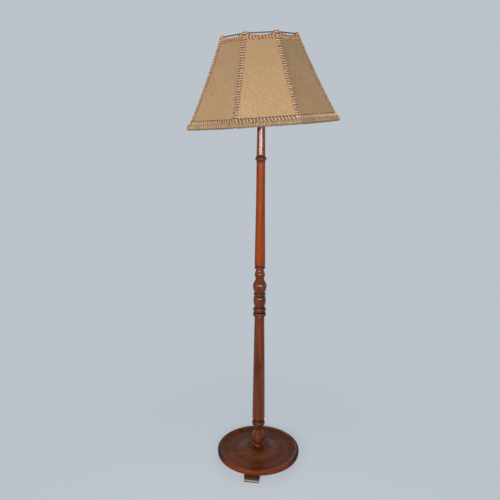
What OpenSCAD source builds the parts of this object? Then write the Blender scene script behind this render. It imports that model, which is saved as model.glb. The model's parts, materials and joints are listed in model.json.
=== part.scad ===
// Candlestick floor lamp: a turned wooden column on a round dished base with
// three toed feet, a brass bayonet lampholder with a push-bar switch, and an
// eight-sided fabric shade that leans on a gimbal ring.
// The origin is on the floor, on the column's axis. +Z is up and -Y is the front.

/* [Base] */
// Diameter of the base disc
base_d = 330; // [280:1:400]
// Thickness of the disc's edge
base_edge_h = 19; // [14:0.5:26]
// Height of the disc's raised centre above its underside
base_boss_h = 28; // [24:0.5:40]
// Diameter of the raised flat at the disc's centre
base_boss_d = 84; // [60:1:100]
// Depth of the dish below the top of the rim
dish_depth = 9; // [4:0.5:10]
// Width of the rim's rounded crest
rim_bead_w = 14; // [10:0.5:20]

/* [Feet] */
// Height of a foot, which is the gap under the disc
foot_h = 25; // [18:0.5:40]
// Width of a foot, across its front
foot_w = 58; // [40:1:80]
// Length of a foot, in from the disc's edge
foot_l = 62; // [50:1:75]
// How far a foot's toe reaches out past the disc
toe_reach = 7; // [3:0.5:12]
// Height of the upright edge below the toe's slope
toe_lip = 2.5; // [1:0.5:5]
// Angle of the front foot, round from the front
foot_turn = -8.5; // [-30:0.5:30]
// Diameter of a foot screw's shank
foot_screw_d = 4; // [3:0.5:5]
// Length of a foot screw
foot_screw_l = 30; // [26:1:30]

/* [Column, lower length] */
// Diameter of the bead that stands on the base
foot_bead_d = 48; // [40:0.5:56]
// Height of that bead
foot_bead_h = 9; // [6:0.5:14]
// Diameter of the vase's two necks
vase_neck_d = 32.5; // [28:0.5:38]
// Diameter of the vase's belly
vase_d = 52; // [44:0.5:64]
// Height of the vase from its lower neck to its belly
vase_low_h = 22; // [18:0.5:40]
// Height of the vase from its belly to its upper neck
vase_high_h = 45; // [26:0.5:52]
// Diameter of the collar bead above the vase
collar_d = 52; // [44:0.5:60]
// Height of the collar bead
collar_h = 16; // [11:0.5:22]
// Diameter at the bottom of the lower shaft
low_shaft_d0 = 50; // [44:0.5:60]
// Diameter at the top of the lower shaft
low_shaft_d1 = 37.8; // [34:0.2:42]
// Length of the lower shaft
low_shaft_h = 431; // [300:1:600]

/* [Column, middle length] */
// Diameter of the lowest bead
bead_low_d = 51; // [42:0.2:60]
// Diameter of the bead above it
bead_mid_d = 49.4; // [42:0.2:58]
// Height of each of those two beads
bead_h = 15.5; // [10:0.5:20]
// Diameter of the lower knop
knop_low_d = 48.4; // [40:0.2:58]
// Height of the lower knop
knop_low_h = 42; // [28:0.5:50]
// Diameter of the ring between the knops
knop_ring_d = 46.2; // [42:0.2:50]
// Diameter of the large knop
knop_d = 52.4; // [44:0.2:64]
// Height of the large knop
knop_h = 46; // [32:0.5:56]
// Diameter of the small knop
knop_top_d = 39.2; // [34:0.2:48]
// Height of the small knop
knop_top_h = 33; // [26:0.5:48]
// Diameter of the slim neck that the upper length stands on
neck_d = 29; // [26:0.2:32]

/* [Column, upper length] */
// Diameter of the bead at the foot of the upper length
bead_top_d = 41.6; // [34:0.2:48]
// Diameter at the bottom of the upper shaft
high_shaft_d0 = 40.4; // [34:0.2:48]
// Diameter at the top of the upper shaft
high_shaft_d1 = 32; // [28:0.2:36]
// Length of the upper shaft
high_shaft_h = 385; // [260:1:520]
// Diameter of the ring bead near the top
ring_d = 42; // [36:0.5:50]
// Diameter at the very top of the column
column_top_d = 27.6; // [22:0.2:30]
// Length of the slim neck above the ring bead
high_neck_h = 132; // [80:1:180]

/* [Joints in the column] */
// Diameter of the way for the flex, through the whole column
flex_way_d = 9; // [7:0.5:10]
// Diameter of the tenon at the base
base_tenon_d = 28; // [20:0.5:30]
// Diameter of the tenon under the middle length
low_tenon_d = 20; // [14:0.5:24]
// Length of the tenon under the middle length
low_tenon_l = 30; // [20:1:45]
// Diameter of the tenon under the upper length
high_tenon_d = 16; // [13:0.5:18]
// Length of the tenon under the upper length
high_tenon_l = 24; // [16:1:30]
// Diameter of the hollow screwed tubes at the base and at the top
tube_d = 10; // [10:0.5:11]
// Diameter of the way through those tubes
tube_bore_d = 7; // [6:0.5:7.5]
// Length of the base tube
base_tube_l = 90; // [70:1:120]

/* [Lampholder] */
// Outer diameter of the holder's cap
cap_d = 36; // [34:0.5:42]
// Height of the holder's cap
cap_h = 33; // [30:0.5:40]
// Outer diameter of the bayonet skirt, which carries the shade rings
skirt_d = 28.6; // [28:0.1:30]
// Height of the bayonet skirt
skirt_h = 29.4; // [28:0.2:34]
// Thickness of the sheet brass
brass_t = 0.9; // [0.6:0.1:1.2]
// Diameter of a shade ring
shade_ring_d = 41; // [36:0.5:44]
// Diameter of the push bar
bar_d = 5; // [4:0.5:6]
// Travel of the push bar
bar_travel = 6; // [3:0.5:8]

/* [Bulb] */
// Diameter of the bulb's glass
bulb_d = 60; // [45:1:65]
// Whole length of the bulb with its cap
bulb_l = 105; // [90:1:120]
// Diameter of the bulb's bayonet cap
bulb_cap_d = 22; // [21.5:0.1:22.5]

/* [Gimbal] */
// Thickness of the gimbal's sheet steel
gimbal_t = 1.5; // [1:0.1:2]
// Greatest tilt of the shade, each way from upright
tilt_limit = 12; // [6:1:20]
// Tilt of the shade as it stands
shade_lean = 3.5; // [-5:0.5:6]
// Angle of the gimbal's axis, round from the front
gimbal_turn = 25.8; // [-45:0.1:45]

/* [Shade frame] */
// Distance across opposite corners of the bottom wire
shade_low_d = 532; // [420:1:600]
// Distance across opposite corners of the top wire
shade_top_d = 270; // [200:1:340]
// Height of the frame from the bottom wire to the top wire
shade_h = 280; // [220:1:360]
// Height of the gimbal's axis above the bottom wire
pivot_up = 69; // [60:1:110]
// How far each strut bows in at its middle
strut_bow = 4; // [1:0.5:8]
// Diameter of the ring wires
ring_wire_d = 4; // [3:0.5:5]
// Diameter of the strut wires
strut_wire_d = 3; // [2:0.5:4]

/* [Shade cover] */
// Thickness of the cloth with its lining
cloth_t = 1.2; // [0.8:0.1:2]
// Droop of each panel's top edge below the top wire
cloth_droop = 10; // [3:0.5:16]
// Width of the braid on each strut
braid_w = 18; // [8:0.5:24]
// Thickness of the braid
braid_t = 2; // [1:0.1:3]
// Width of the braid along the top edges, at a panel's middle
top_braid_w = 16; // [8:0.5:20]
// Height of the bottom braid's lower edge above the bottom wire
low_braid_up = 5; // [3:0.5:8]
// Width of the braid along the bottom edges
low_braid_w = 13; // [8:0.5:16]
// Depth of the looped fringe
fringe_h = 16; // [10:0.5:24]
// How far the looped fringe stands out from the cloth
fringe_t = 4; // [3:0.5:8]

/* [Fits] */
// Gap between pieces that are glued, screwed or sewn together
seat_gap = 0.1; // [0.05:0.05:0.2]
// Gap between a turning pin or bar and its hole, on the radius
run_gap = 0.08; // [0.05:0.01:0.1]
// Gap between pieces that move past each other
move_gap = 0.3; // [0.2:0.05:0.5]

/* [Hidden] */

// Colours
walnut = "#7a3f22";
dark_walnut = "#5b2d18";
brass = "#c9a24a";
steel = "#9a9a98";
bakelite = "#3a2a20";
linen = "#bfa06c";
braid_colour = "#c89c74";
fringe_colour = "#a08a50";

// Smoothness of turned work, and the points in a quarter round
turned_fn = 96;
quarter_n = 7;

// --- Outlines of turned work, as [radius, height] points ---

// A bead that swells from radius r to radius big over a height h
function bead(z, h, r, big, n = 2 * quarter_n) = [
    for (i = [0:n]) [r + (big - r) * sin(180 * i / n), z + h * (1 - cos(180 * i / n)) / 2]
];
// A smooth change of radius, flat at both ends, over a height h
function ogee(z, h, r0, r1, n = 2 * quarter_n) = [
    for (i = [0:n]) [r0 + (r1 - r0) * (1 - cos(180 * i / n)) / 2, z + h * i / n]
];
// A quarter round that leaves its fullest radius upwards
function shoulder(z, h, r0, r1, n = quarter_n) = [
    for (i = [0:n]) [r1 + (r0 - r1) * cos(90 * i / n), z + h * sin(90 * i / n)]
];
// A quarter round that rises to its fullest radius
function swell(z, h, r0, r1, n = quarter_n) = [
    for (i = [0:n]) [r0 + (r1 - r0) * sin(90 * i / n), z + h * (1 - cos(90 * i / n))]
];

// A rounded belly from radius r0 at its foot to r1 at its top, fullest at a share of its height
function belly(z, h, r0, big, r1, share, n = 2 * quarter_n) = [
    for (i = [0:n]) let (t = i / n, low = t < share,
            s = low ? 1 - t / share : (t - share) / (1 - share))
        [big - (big - (low ? r0 : r1)) * s * s, z + h * t]
];

module turned(outline) rotate_extrude($fn = turned_fn) polygon(outline);

// --- Heights up the base and the column ---
disc_z = foot_h;
rim_z = disc_z + base_edge_h;
boss_z = disc_z + base_boss_h;
foot_bead_top = boss_z + foot_bead_h;
neck_fillet_h = 4;
vase_z = foot_bead_top + neck_fillet_h;
belly_z = vase_z + vase_low_h;
vase_top = belly_z + vase_high_h;
fillet_h = 7;
collar_z = vase_top + 2 * fillet_h;
collar_top = collar_z + collar_h;
groove_h = 7;
chamfer_h = 8;
low_shaft_z = collar_top + groove_h + chamfer_h;
low_joint_z = low_shaft_z + low_shaft_h;

bead_gap_h = 4;
bead_mid_z = low_joint_z + bead_h + bead_gap_h;
knop_low_z = bead_mid_z + bead_h + 4;
knop_ring_h = 11;
knop_ring_z = knop_low_z + knop_low_h + 2;
knop_z = knop_ring_z + knop_ring_h + 3;
knop_cove_h = 11;
knop_top_z = knop_z + knop_h + knop_cove_h;
high_joint_z = knop_top_z + knop_top_h + 2;

top_bead_h = 9;
quirk_h = 7;
high_shaft_z = high_joint_z + top_bead_h + quirk_h;
ring_z = high_shaft_z + high_shaft_h + 4;
ring_h = 11;
high_neck_z = ring_z + ring_h + 4;
column_top = high_neck_z + high_neck_h;

// --- Base ---
rim_r = base_d / 2;
bead_r = rim_bead_w / 2;
dish_z = rim_z - dish_depth;
rim_fall_w = 24;
rim_fall_h = dish_depth - 1;
dish_r = base_boss_d / 2 + 58;
washer_clear = 2;
edge_quirk = 3;
boss_step = 2;
boss_ease = 3;
// Heights on the edge, as shares of its thickness
low_bead_top = 0.36;
quirk_top = 0.44;
rim_turn = 0.70;
washer_d = 36;
washer_t = 2;
washer_seat = 6;
tenon_shoulder = 5;
base_tenon_l = base_boss_h - washer_seat - tenon_shoulder;
foot_screw_in = [20, 18];
foot_screw_r = [rim_r - foot_screw_in[0], rim_r - foot_l + foot_screw_in[1]];
foot_screw_side = foot_w / 4;
foot_heel = 5;
screw_slot = [1, 1.2];
screw_head_d = 2 * foot_screw_d;
screw_head_h = foot_screw_d / 2;
screw_sink = 1.5;
nut_across = 17;
nut_h = 8;
nut_ease = 1.5;
base_tube_below = 2;

// Places of the foot screws in a foot that points to the front
function foot_screw_places() = [
    [-foot_screw_side, -foot_screw_r[0]], [foot_screw_side, -foot_screw_r[1]]
];

module on_foot(k) rotate([0, 0, foot_turn + 120 * (k - 1)]) children();

module foot_screw(grow) {
    shank_z = screw_sink + screw_head_h;
    translate([0, 0, screw_sink - grow])
        cylinder(h = screw_head_h + grow, d1 = screw_head_d + 2 * grow, d2 = foot_screw_d + 2 * grow, $fn = 32);
    translate([0, 0, shank_z - grow])
        cylinder(h = foot_screw_l - screw_head_h + 2 * grow, d = foot_screw_d + 2 * grow, $fn = 32);
}

module base_disc() color(walnut) {
    edge = base_edge_h;
    quirk_r = rim_r - edge_quirk;
    crest_r = rim_r - bead_r;
    boss_r = base_boss_d / 2;
    outline = concat(
        [[tube_d / 2 + seat_gap, disc_z + washer_seat]],
        [[washer_d / 2 + washer_clear, disc_z + washer_seat]],
        [[washer_d / 2 + washer_clear, disc_z]],
        [[quirk_r, disc_z]],
        // the small lower bead of the edge, the quirk, then the rim's bead
        bead(disc_z, low_bead_top * edge, quirk_r, rim_r - 0.5, quarter_n),
        [[quirk_r, disc_z + (low_bead_top + quirk_top) / 2 * edge]],
        swell(disc_z + quirk_top * edge, (rim_turn - quirk_top) * edge, quirk_r, rim_r),
        shoulder(disc_z + rim_turn * edge, (1 - rim_turn) * edge, rim_r, crest_r),
        // the rim's easy fall into the dish, then the rise to the raised flat
        [for (i = [1:10]) let (t = i / 10) [
            crest_r - rim_fall_w * t,
            rim_z - rim_fall_h * (1 - cos(180 * t)) / 2]],
        [for (i = [0:10]) let (t = i / 10) [
            dish_r + (boss_r + boss_ease - dish_r) * t,
            dish_z + (boss_z - boss_step - dish_z) * (1 - cos(90 * t))]],
        [[boss_r + boss_ease / 2, boss_z - boss_step], [boss_r, boss_z]],
        [[base_tenon_d / 2 + seat_gap, boss_z]],
        [[base_tenon_d / 2 + seat_gap, disc_z + washer_seat + tenon_shoulder]],
        [[tube_d / 2 + seat_gap, disc_z + washer_seat + tenon_shoulder]]);
    difference() {
        turned(outline);
        for (k = [1:3], p = foot_screw_places()) on_foot(k)
            translate([p[0], p[1], 0]) foot_screw(seat_gap);
    }
}

module foot(k) color(dark_walnut) on_foot(k) difference() {
    translate([-foot_w / 2, 0, 0]) rotate([90, 0, 90])
        linear_extrude(foot_w) polygon([
            [-rim_r + foot_l, foot_h], [-rim_r + foot_l - foot_heel, 0],
            [-rim_r - toe_reach, 0], [-rim_r - toe_reach, toe_lip],
            [-rim_r, toe_lip + toe_reach], [-rim_r, foot_h]]);
    for (p = foot_screw_places()) translate([p[0], p[1], 0]) {
        foot_screw(seat_gap);
        cylinder(h = screw_sink, d = screw_head_d + 2 * seat_gap, $fn = 32);
    }
}

module foot_screws() color(steel) for (k = [1:3], p = foot_screw_places())
    on_foot(k) translate([p[0], p[1], 0]) difference() {
        foot_screw(0);
        translate([-screw_head_d / 2, -screw_slot[0] / 2, screw_sink])
            cube([screw_head_d, screw_slot[0], screw_slot[1]]);
    }

module screwed_tube(z, l) color(brass) translate([0, 0, z]) difference() {
    cylinder(h = l, d = tube_d, $fn = 64);
    translate([0, 0, -1]) cylinder(h = l + 2, d = tube_bore_d, $fn = 64);
}

base_tube_z = disc_z + washer_seat - washer_t - nut_h - base_tube_below;

module base_washer() color(steel) translate([0, 0, disc_z + washer_seat - washer_t - seat_gap])
    difference() {
        cylinder(h = washer_t, d = washer_d, $fn = 64);
        translate([0, 0, -1]) cylinder(h = washer_t + 2, d = tube_d + 2 * seat_gap, $fn = 64);
    }

module base_nut() color(brass)
    translate([0, 0, disc_z + washer_seat - washer_t - nut_h - 2 * seat_gap])
    difference() {
        intersection() {
            cylinder(h = nut_h, d = nut_across / cos(30), $fn = 6);
            union() {
                wide = nut_across + 3;
                slim = nut_across - 1;
                cylinder(h = nut_ease, d1 = slim, d2 = wide, $fn = 64);
                translate([0, 0, nut_ease]) cylinder(h = nut_h - 2 * nut_ease, d = wide, $fn = 64);
                translate([0, 0, nut_h - nut_ease]) cylinder(h = nut_ease, d1 = wide, d2 = slim, $fn = 64);
            }
        }
        translate([0, 0, -1]) cylinder(h = nut_h + 2, d = tube_d + 2 * seat_gap, $fn = 64);
    }

// --- Column ---
way_r = flex_way_d / 2;
tube_r = tube_d / 2 + seat_gap;
base_tube_top = base_tube_z + base_tube_l + 1;
holder_tube_in = 25;
groove_in = 4.4;
groove_r = low_shaft_d0 / 2 - groove_in;

module column_lower() color(walnut) {
    neck = vase_neck_d / 2;
    low_r = low_shaft_d0 / 2;
    top_r = low_shaft_d1 / 2;
    low_ring = neck + 1.2;
    high_ring = neck + 1.4;
    flank = (neck + vase_d / 2) / 2 + 2;
    turned(concat(
        [[tube_r, boss_z - base_tenon_l + seat_gap]],
        [[base_tenon_d / 2, boss_z - base_tenon_l + seat_gap]],
        [[base_tenon_d / 2, boss_z + seat_gap]],
        // the bead on the base, and the fillet over it
        bead(boss_z + seat_gap, foot_bead_h - seat_gap, neck + 3, foot_bead_d / 2),
        [[low_ring, foot_bead_top], [low_ring, foot_bead_top + neck_fillet_h - 1]],
        // the vase
        ogee(vase_z, vase_low_h / 2, neck, flank),
        swell(vase_z + vase_low_h / 2, vase_low_h / 2, flank, vase_d / 2),
        ogee(belly_z, vase_high_h, vase_d / 2, neck),
        // the fillet ring, the cove and the collar bead
        [[high_ring, vase_top], [high_ring, vase_top + fillet_h - 1]],
        ogee(vase_top + fillet_h, fillet_h, high_ring - 0.8, collar_d / 2 - 6, quarter_n),
        bead(collar_z, collar_h, collar_d / 2 - 4, collar_d / 2),
        // the groove, the chamfer and the long swelling shaft
        [[groove_r, collar_top + 1], [groove_r, collar_top + groove_h - 2]],
        [[groove_r + 1, collar_top + groove_h - 1]],
        shoulder(collar_top + groove_h, chamfer_h / 2, groove_r + 1.2, low_r - 1, 1),
        [for (i = [0:16]) let (t = i / 16) [
            low_r - (low_r - top_r) * pow(t, 1.3),
            low_shaft_z + (low_shaft_h - 3) * t]],
        [[top_r - 1.2, low_joint_z]],
        // the mortise for the middle length, the flex way, the tube's bore
        [[low_tenon_d / 2 + seat_gap, low_joint_z]],
        [[low_tenon_d / 2 + seat_gap, low_joint_z - low_tenon_l - 1]],
        [[way_r, low_joint_z - low_tenon_l - 1]],
        [[way_r, base_tube_top], [tube_r, base_tube_top]]));
}

module column_middle() color(walnut) {
    joint_z = low_joint_z + seat_gap;
    valley = bead_mid_d / 2 - 3.4;
    waist = knop_low_d / 2 - 5.2;
    throat = knop_ring_d / 2 - 3.6;
    step = knop_d / 2 - 8.6;
    cove = knop_top_d / 2 - 4;
    fillet = 1.8;
    turned(concat(
        [[way_r, low_joint_z - low_tenon_l]],
        [[low_tenon_d / 2, low_joint_z - low_tenon_l]],
        [[low_tenon_d / 2, joint_z]],
        // two beads with a flat valley between them
        bead(joint_z, bead_h - seat_gap, bead_low_d / 2 - 5, bead_low_d / 2),
        [[valley, low_joint_z + bead_h], [valley, bead_mid_z]],
        bead(bead_mid_z, bead_h, valley, bead_mid_d / 2),
        // the lower knop
        [[waist - 0.6, bead_mid_z + bead_h], [waist - 0.6, knop_low_z - 1]],
        belly(knop_low_z, knop_low_h, waist, knop_low_d / 2, throat + 0.6, 0.68),
        // the ring between the knops
        [[throat, knop_low_z + knop_low_h + 0.5], [throat, knop_ring_z - 0.5]],
        bead(knop_ring_z, knop_ring_h, throat + 0.4, knop_ring_d / 2, quarter_n + 3),
        [[throat, knop_ring_z + knop_ring_h + 0.5], [throat, knop_z - 1]],
        // the large knop, its fillet and the cove above it
        belly(knop_z, knop_h, throat + 0.4, knop_d / 2, step, 0.5),
        [[step - 1, knop_z + knop_h + 0.4], [step - 0.2, knop_z + knop_h + 0.8]],
        [[step - 0.2, knop_z + knop_h + fillet]],
        ogee(knop_z + knop_h + fillet, knop_cove_h - fillet, step - 0.8, cove, quarter_n),
        // the small knop and the neck
        swell(knop_top_z, knop_top_h * 0.36, cove + 0.3, knop_top_d / 2),
        ogee(knop_top_z + knop_top_h * 0.36, knop_top_h * 0.64, knop_top_d / 2, neck_d / 2),
        [[neck_d / 2, high_joint_z]],
        // the mortise for the upper length
        [[high_tenon_d / 2 + seat_gap, high_joint_z]],
        [[high_tenon_d / 2 + seat_gap, high_joint_z - high_tenon_l - 1]],
        [[way_r, high_joint_z - high_tenon_l - 1]]));
}

module column_upper() color(walnut) {
    joint_z = high_joint_z + seat_gap;
    low_r = high_shaft_d0 / 2;
    top_r = high_shaft_d1 / 2;
    quirk_r = low_r - 1.4;
    ring_foot = top_r + 1.2;
    ring_head = top_r + 0.8;
    turned(concat(
        [[way_r, high_joint_z - high_tenon_l]],
        [[high_tenon_d / 2, high_joint_z - high_tenon_l]],
        [[high_tenon_d / 2, joint_z]],
        // the bead, the quirk and the long tapering shaft
        bead(joint_z, top_bead_h - seat_gap, bead_top_d / 2 - 3, bead_top_d / 2),
        [[quirk_r, high_joint_z + top_bead_h + 1]],
        [[quirk_r, high_shaft_z - 2], [low_r - 0.2, high_shaft_z - 0.5]],
        [for (i = [0:20]) let (t = i / 20) [
            low_r - (low_r - top_r) * pow(sin(90 * t), 1.15),
            high_shaft_z + high_shaft_h * t]],
        // the ring bead between its two fillets
        [[ring_foot, high_shaft_z + high_shaft_h + 1], [ring_foot, ring_z]],
        bead(ring_z, ring_h, ring_foot + 0.2, ring_d / 2),
        [[ring_head, ring_z + ring_h], [ring_head, high_neck_z - 1]],
        // the slim neck up to the lampholder
        [[ring_head - 0.7, high_neck_z], [column_top_d / 2, column_top - 1]],
        [[column_top_d / 2 - 1, column_top]],
        [[tube_r, column_top], [tube_r, column_top - holder_tube_in - 1]],
        [[way_r, column_top - holder_tube_in - 1]]));
}

// --- Lampholder ---
collar_t = 3;
collar_ring_d = 18;
holder_z = column_top + collar_t + 2 * seat_gap;
cap_r = cap_d / 2;
cap_entry_h = 8;
cap_entry_r = 8.5;
cap_dome_z = 6;
cap_dome_h = 10;
cap_rib = 0.6;
bar_z = holder_z + 24;
core_z = holder_z + cap_dome_z + cap_dome_h + 0.5;
skirt_z = holder_z + cap_h + seat_gap;
skirt_top = skirt_z + skirt_h;
skirt_r = skirt_d / 2;
flange_t = 1.5;
core_top = skirt_z + 8;
plunger_side = 4.8;
plunger_d = 4.4;
plunger_tip_d = 3;
plunger_sink = 7;
plunger_l = 8.5;
contact_z = skirt_z + 13;
bulb_pin_z = contact_z + 9;
bulb_pin_d = 2.2;
bulb_pin_grip = 0.2;
bulb_pin_r = skirt_r - brass_t + bulb_pin_grip;
terminal_side = 8;
terminal_d = 3;
slot_w = bulb_pin_d + 0.6;
slot_jog = 4;

module holder_tube() {
    screwed_tube(column_top - holder_tube_in, holder_tube_in + collar_t + cap_entry_h);
    color(brass) translate([0, 0, column_top + seat_gap]) difference() {
        cylinder(h = collar_t, d = collar_ring_d, $fn = 64);
        translate([0, 0, -1]) cylinder(h = collar_t + 2, d = tube_d - 0.5, $fn = 64);
    }
}

module holder_cap() color(brass) difference() {
    inner = cap_r - brass_t;
    entry_in = cap_entry_r - brass_t;
    dome_top = cap_dome_z + cap_dome_h;
    translate([0, 0, holder_z]) turned(concat(
        [[tube_r, 0], [cap_entry_r - 1, 0], [cap_entry_r, 1], [cap_entry_r, cap_dome_z - 1]],
        swell(cap_dome_z, cap_dome_h, cap_entry_r, cap_r, 8),
        // the rib round the cap, then its rim
        [[cap_r, dome_top + 1], [cap_r + cap_rib, dome_top + 2]],
        [[cap_r + cap_rib, dome_top + 3], [cap_r, dome_top + 4]],
        [[cap_r, cap_h - 1], [cap_r - 0.4, cap_h], [inner, cap_h], [inner, dome_top]],
        [for (i = [8:-1:0]) let (a = 90 * i / 8)
            [entry_in + (inner - entry_in) * sin(a), dome_top - (dome_top - cap_entry_h) * cos(a)]],
        [[tube_r, cap_entry_h]]));
    translate([0, 0, bar_z]) rotate([0, 90, 0])
        cylinder(h = 2 * cap_d, r = bar_d / 2 + run_gap, center = true, $fn = 48);
}

module holder_core() color(bakelite) difference() {
    wall = brass_t + seat_gap;
    translate([0, 0, core_z]) union() {
        cylinder(h = skirt_z - seat_gap - core_z, r = cap_r - wall, $fn = 64);
        cylinder(h = core_top - core_z, r = skirt_r - wall, $fn = 64);
    }
    translate([0, 0, bar_z]) rotate([0, 90, 0])
        cylinder(h = 2 * cap_d, r = bar_d / 2 + move_gap, center = true, $fn = 48);
    for (side = [-1, 1]) {
        translate([0, side * plunger_side, core_top - plunger_sink])
            cylinder(h = plunger_sink + 1, d = plunger_d + 2 * seat_gap, $fn = 32);
        translate([0, side * terminal_side, core_z - 1])
            cylinder(h = 4, d = terminal_d + 2 * seat_gap, $fn = 32);
    }
}

module contact_plungers() color(brass) for (side = [-1, 1])
    translate([0, side * plunger_side, core_top - plunger_sink + seat_gap]) {
        reach = contact_z - core_top + plunger_sink - 2 * seat_gap;
        cylinder(h = plunger_l, d = plunger_d, $fn = 32);
        translate([0, 0, plunger_l]) cylinder(h = reach - plunger_l, d = plunger_tip_d, $fn = 32);
    }

module terminal_screws() color(brass) for (side = [-1, 1])
    translate([0, side * terminal_side, core_z]) difference() {
        union() {
            translate([0, 0, -2.5]) cylinder(h = 2.5 - seat_gap, d = 4.5, $fn = 32);
            translate([0, 0, -1]) cylinder(h = 3.5, d = terminal_d, $fn = 32);
        }
        translate([-3, -0.4, -3]) cube([6, 0.8, 1.2]);
    }

// The bar stands pushed to one side, so that its knob meets the cap
module push_bar() color(bakelite) {
    half = cap_r + cap_rib + move_gap + bar_travel / 2;
    knob_l = 5;
    knob_r = bar_d / 2 + 1.2;
    translate([-bar_travel / 2, 0, bar_z]) rotate([0, 90, 0]) turned(concat(
        [[0, -half - knob_l]],
        bead(-half - knob_l, knob_l, bar_d / 2 - 0.5, knob_r, 10),
        [[bar_d / 2, -half], [bar_d / 2, half]],
        bead(half, knob_l, bar_d / 2 - 0.5, knob_r, 10),
        [[0, half + knob_l]]));
}

// The skirt has two J-shaped slots that hold the bulb's pins
module holder_skirt() color(brass) difference() {
    inner = skirt_r - brass_t;
    translate([0, 0, skirt_z]) turned(
        [[inner, 0], [cap_r - 0.2, 0], [cap_r - 0.2, flange_t], [skirt_r, flange_t],
         [skirt_r, skirt_h], [inner, skirt_h]]);
    for (side = [0, 180]) rotate([0, 0, side]) {
        translate([skirt_r - 4, -slot_jog - slot_w / 2, bulb_pin_z - slot_w / 2]) cube([6, slot_w, skirt_h]);
        translate([skirt_r - 4, -slot_jog - slot_w / 2, bulb_pin_z - slot_w / 2])
            cube([6, slot_jog + slot_w, slot_w + 0.4]);
    }
}

// Heights of the two shade rings and the gimbal ring clamped between them
low_ring_z = skirt_z + 10;
low_ring_h = 3;
gimbal_z = low_ring_z + low_ring_h + move_gap;
high_ring_z = gimbal_z + gimbal_t + move_gap;
high_ring_h = 4;

module shade_ring(z, h) color(brass) difference() {
    translate([0, 0, z]) turned(concat(
        [[skirt_r + seat_gap, 0]], [[shade_ring_d / 2 - 0.8, 0]],
        bead(0, h, shade_ring_d / 2 - 0.8, shade_ring_d / 2, 6),
        [[shade_ring_d / 2 - 0.8, h], [skirt_r + seat_gap, h]]));
    for (k = [0:35]) rotate([0, 0, 10 * k])
        translate([shade_ring_d / 2, 0, z - 1]) cylinder(h = h + 2, d = 1.2, $fn = 16);
}

// --- Bulb ---
bulb_cap_h = 26;
bulb_top = contact_z + bulb_l;
bulb_mid = bulb_top - bulb_d / 2;

module bulb_cap() color(brass) translate([0, 0, contact_z + 1]) turned(
    [[0, 0], [8, 0], [8, 1], [bulb_cap_d / 2 - 1, 2], [bulb_cap_d / 2, 3],
     [bulb_cap_d / 2, bulb_cap_h - 2], [bulb_cap_d / 2 + 0.8, bulb_cap_h - 1], [0, bulb_cap_h - 1]]);

module bulb_pins() color(brass) for (side = [0, 180]) rotate([0, 0, side])
    translate([bulb_cap_d / 2 + seat_gap, 0, bulb_pin_z]) rotate([0, 90, 0])
        cylinder(h = bulb_pin_r - bulb_cap_d / 2, d = bulb_pin_d, $fn = 24);

module bulb_contacts() color(steel) for (side = [-1, 1])
    translate([0, side * plunger_side, contact_z]) cylinder(h = 1 - seat_gap, d = 4, $fn = 24);

module bulb_glass() color([0.95, 0.94, 0.9, 0.9]) {
    neck_r = 15;
    neck_z = contact_z + bulb_cap_h + seat_gap;
    turned(concat(
        [[0, neck_z], [bulb_cap_d / 2, neck_z]],
        ogee(neck_z + 1, bulb_mid - neck_z - 18, neck_r - 3, bulb_d / 2 - 4.4),
        [for (i = [-3:12]) let (a = 90 * i / 12)
            [bulb_d / 2 * cos(a), bulb_mid + bulb_d / 2 * sin(a)]]));
}

// --- Gimbal, drawn with its axis along Y ---
eye_half_w = 12;
eye_drop = 5;
pin_up = eye_half_w * sin(tilt_limit) + eye_drop * cos(tilt_limit) + move_gap;
pivot_z = gimbal_z + gimbal_t + pin_up;
ear_y = shade_ring_d / 2 + 6;
eye_y = ear_y + gimbal_t + move_gap;
tongue_y = eye_y + gimbal_t + 3;
pin_d = 4;
pin_head_d = 6.5;
pin_head_t = 1.4;
ear_r = 5.5;

// Both frames stand at the pivot, and the shade's also leans
module at_gimbal() translate([0, 0, pivot_z]) rotate([0, 0, gimbal_turn]) children();
module at_shade() at_gimbal() rotate(a = shade_lean, v = [0, -1, 0]) children();

module gimbal_ring() color(steel) at_gimbal() difference() {
    union() {
        translate([0, 0, -pin_up - gimbal_t]) cylinder(h = gimbal_t, d = shade_ring_d + 6, $fn = 96);
        translate([-eye_half_w - 1, -tongue_y, -pin_up - gimbal_t])
            cube([2 * eye_half_w + 2, 2 * tongue_y, gimbal_t]);
        for (side = [0, 180]) rotate([0, 0, side]) translate([0, -ear_y, 0]) {
            rotate([90, 0, 0]) cylinder(h = gimbal_t, r = ear_r, $fn = 48);
            translate([-ear_r, -gimbal_t, -pin_up - gimbal_t / 2])
                cube([2 * ear_r, gimbal_t, pin_up + gimbal_t / 2]);
        }
    }
    translate([0, 0, -pin_up - gimbal_t - 1])
        cylinder(h = gimbal_t + 2, r = skirt_r + run_gap, $fn = 96);
    rotate([90, 0, 0]) cylinder(h = 4 * ear_y, r = pin_d / 2 + run_gap, center = true, $fn = 48);
}

module gimbal_pins() color(brass) at_gimbal() for (side = [0, 180]) rotate([0, 0, side])
    translate([0, -ear_y, 0]) rotate([90, 0, 0]) {
        translate([0, 0, -pin_head_t - seat_gap]) cylinder(h = pin_head_t, d = pin_head_d, $fn = 48);
        translate([0, 0, -pin_head_t])
            cylinder(h = 2 * gimbal_t + 2 * move_gap + pin_head_t + seat_gap, d = pin_d, $fn = 48);
        translate([0, 0, 2 * gimbal_t + 2 * move_gap]) cylinder(h = pin_head_t, d = pin_head_d, $fn = 48);
    }

// --- Shade, drawn round its pivot with a strut at the front ---
low_r = shade_low_d / 2;
high_r = shade_top_d / 2;
low_z = -pivot_up;
high_z = low_z + shade_h;
half_turn = 22.5;
strut_slope = atan((low_r - high_r) / shade_h);
panel_slope = atan((low_r - high_r) * cos(half_turn) / shade_h);
panel_l = shade_h / cos(panel_slope);
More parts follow.
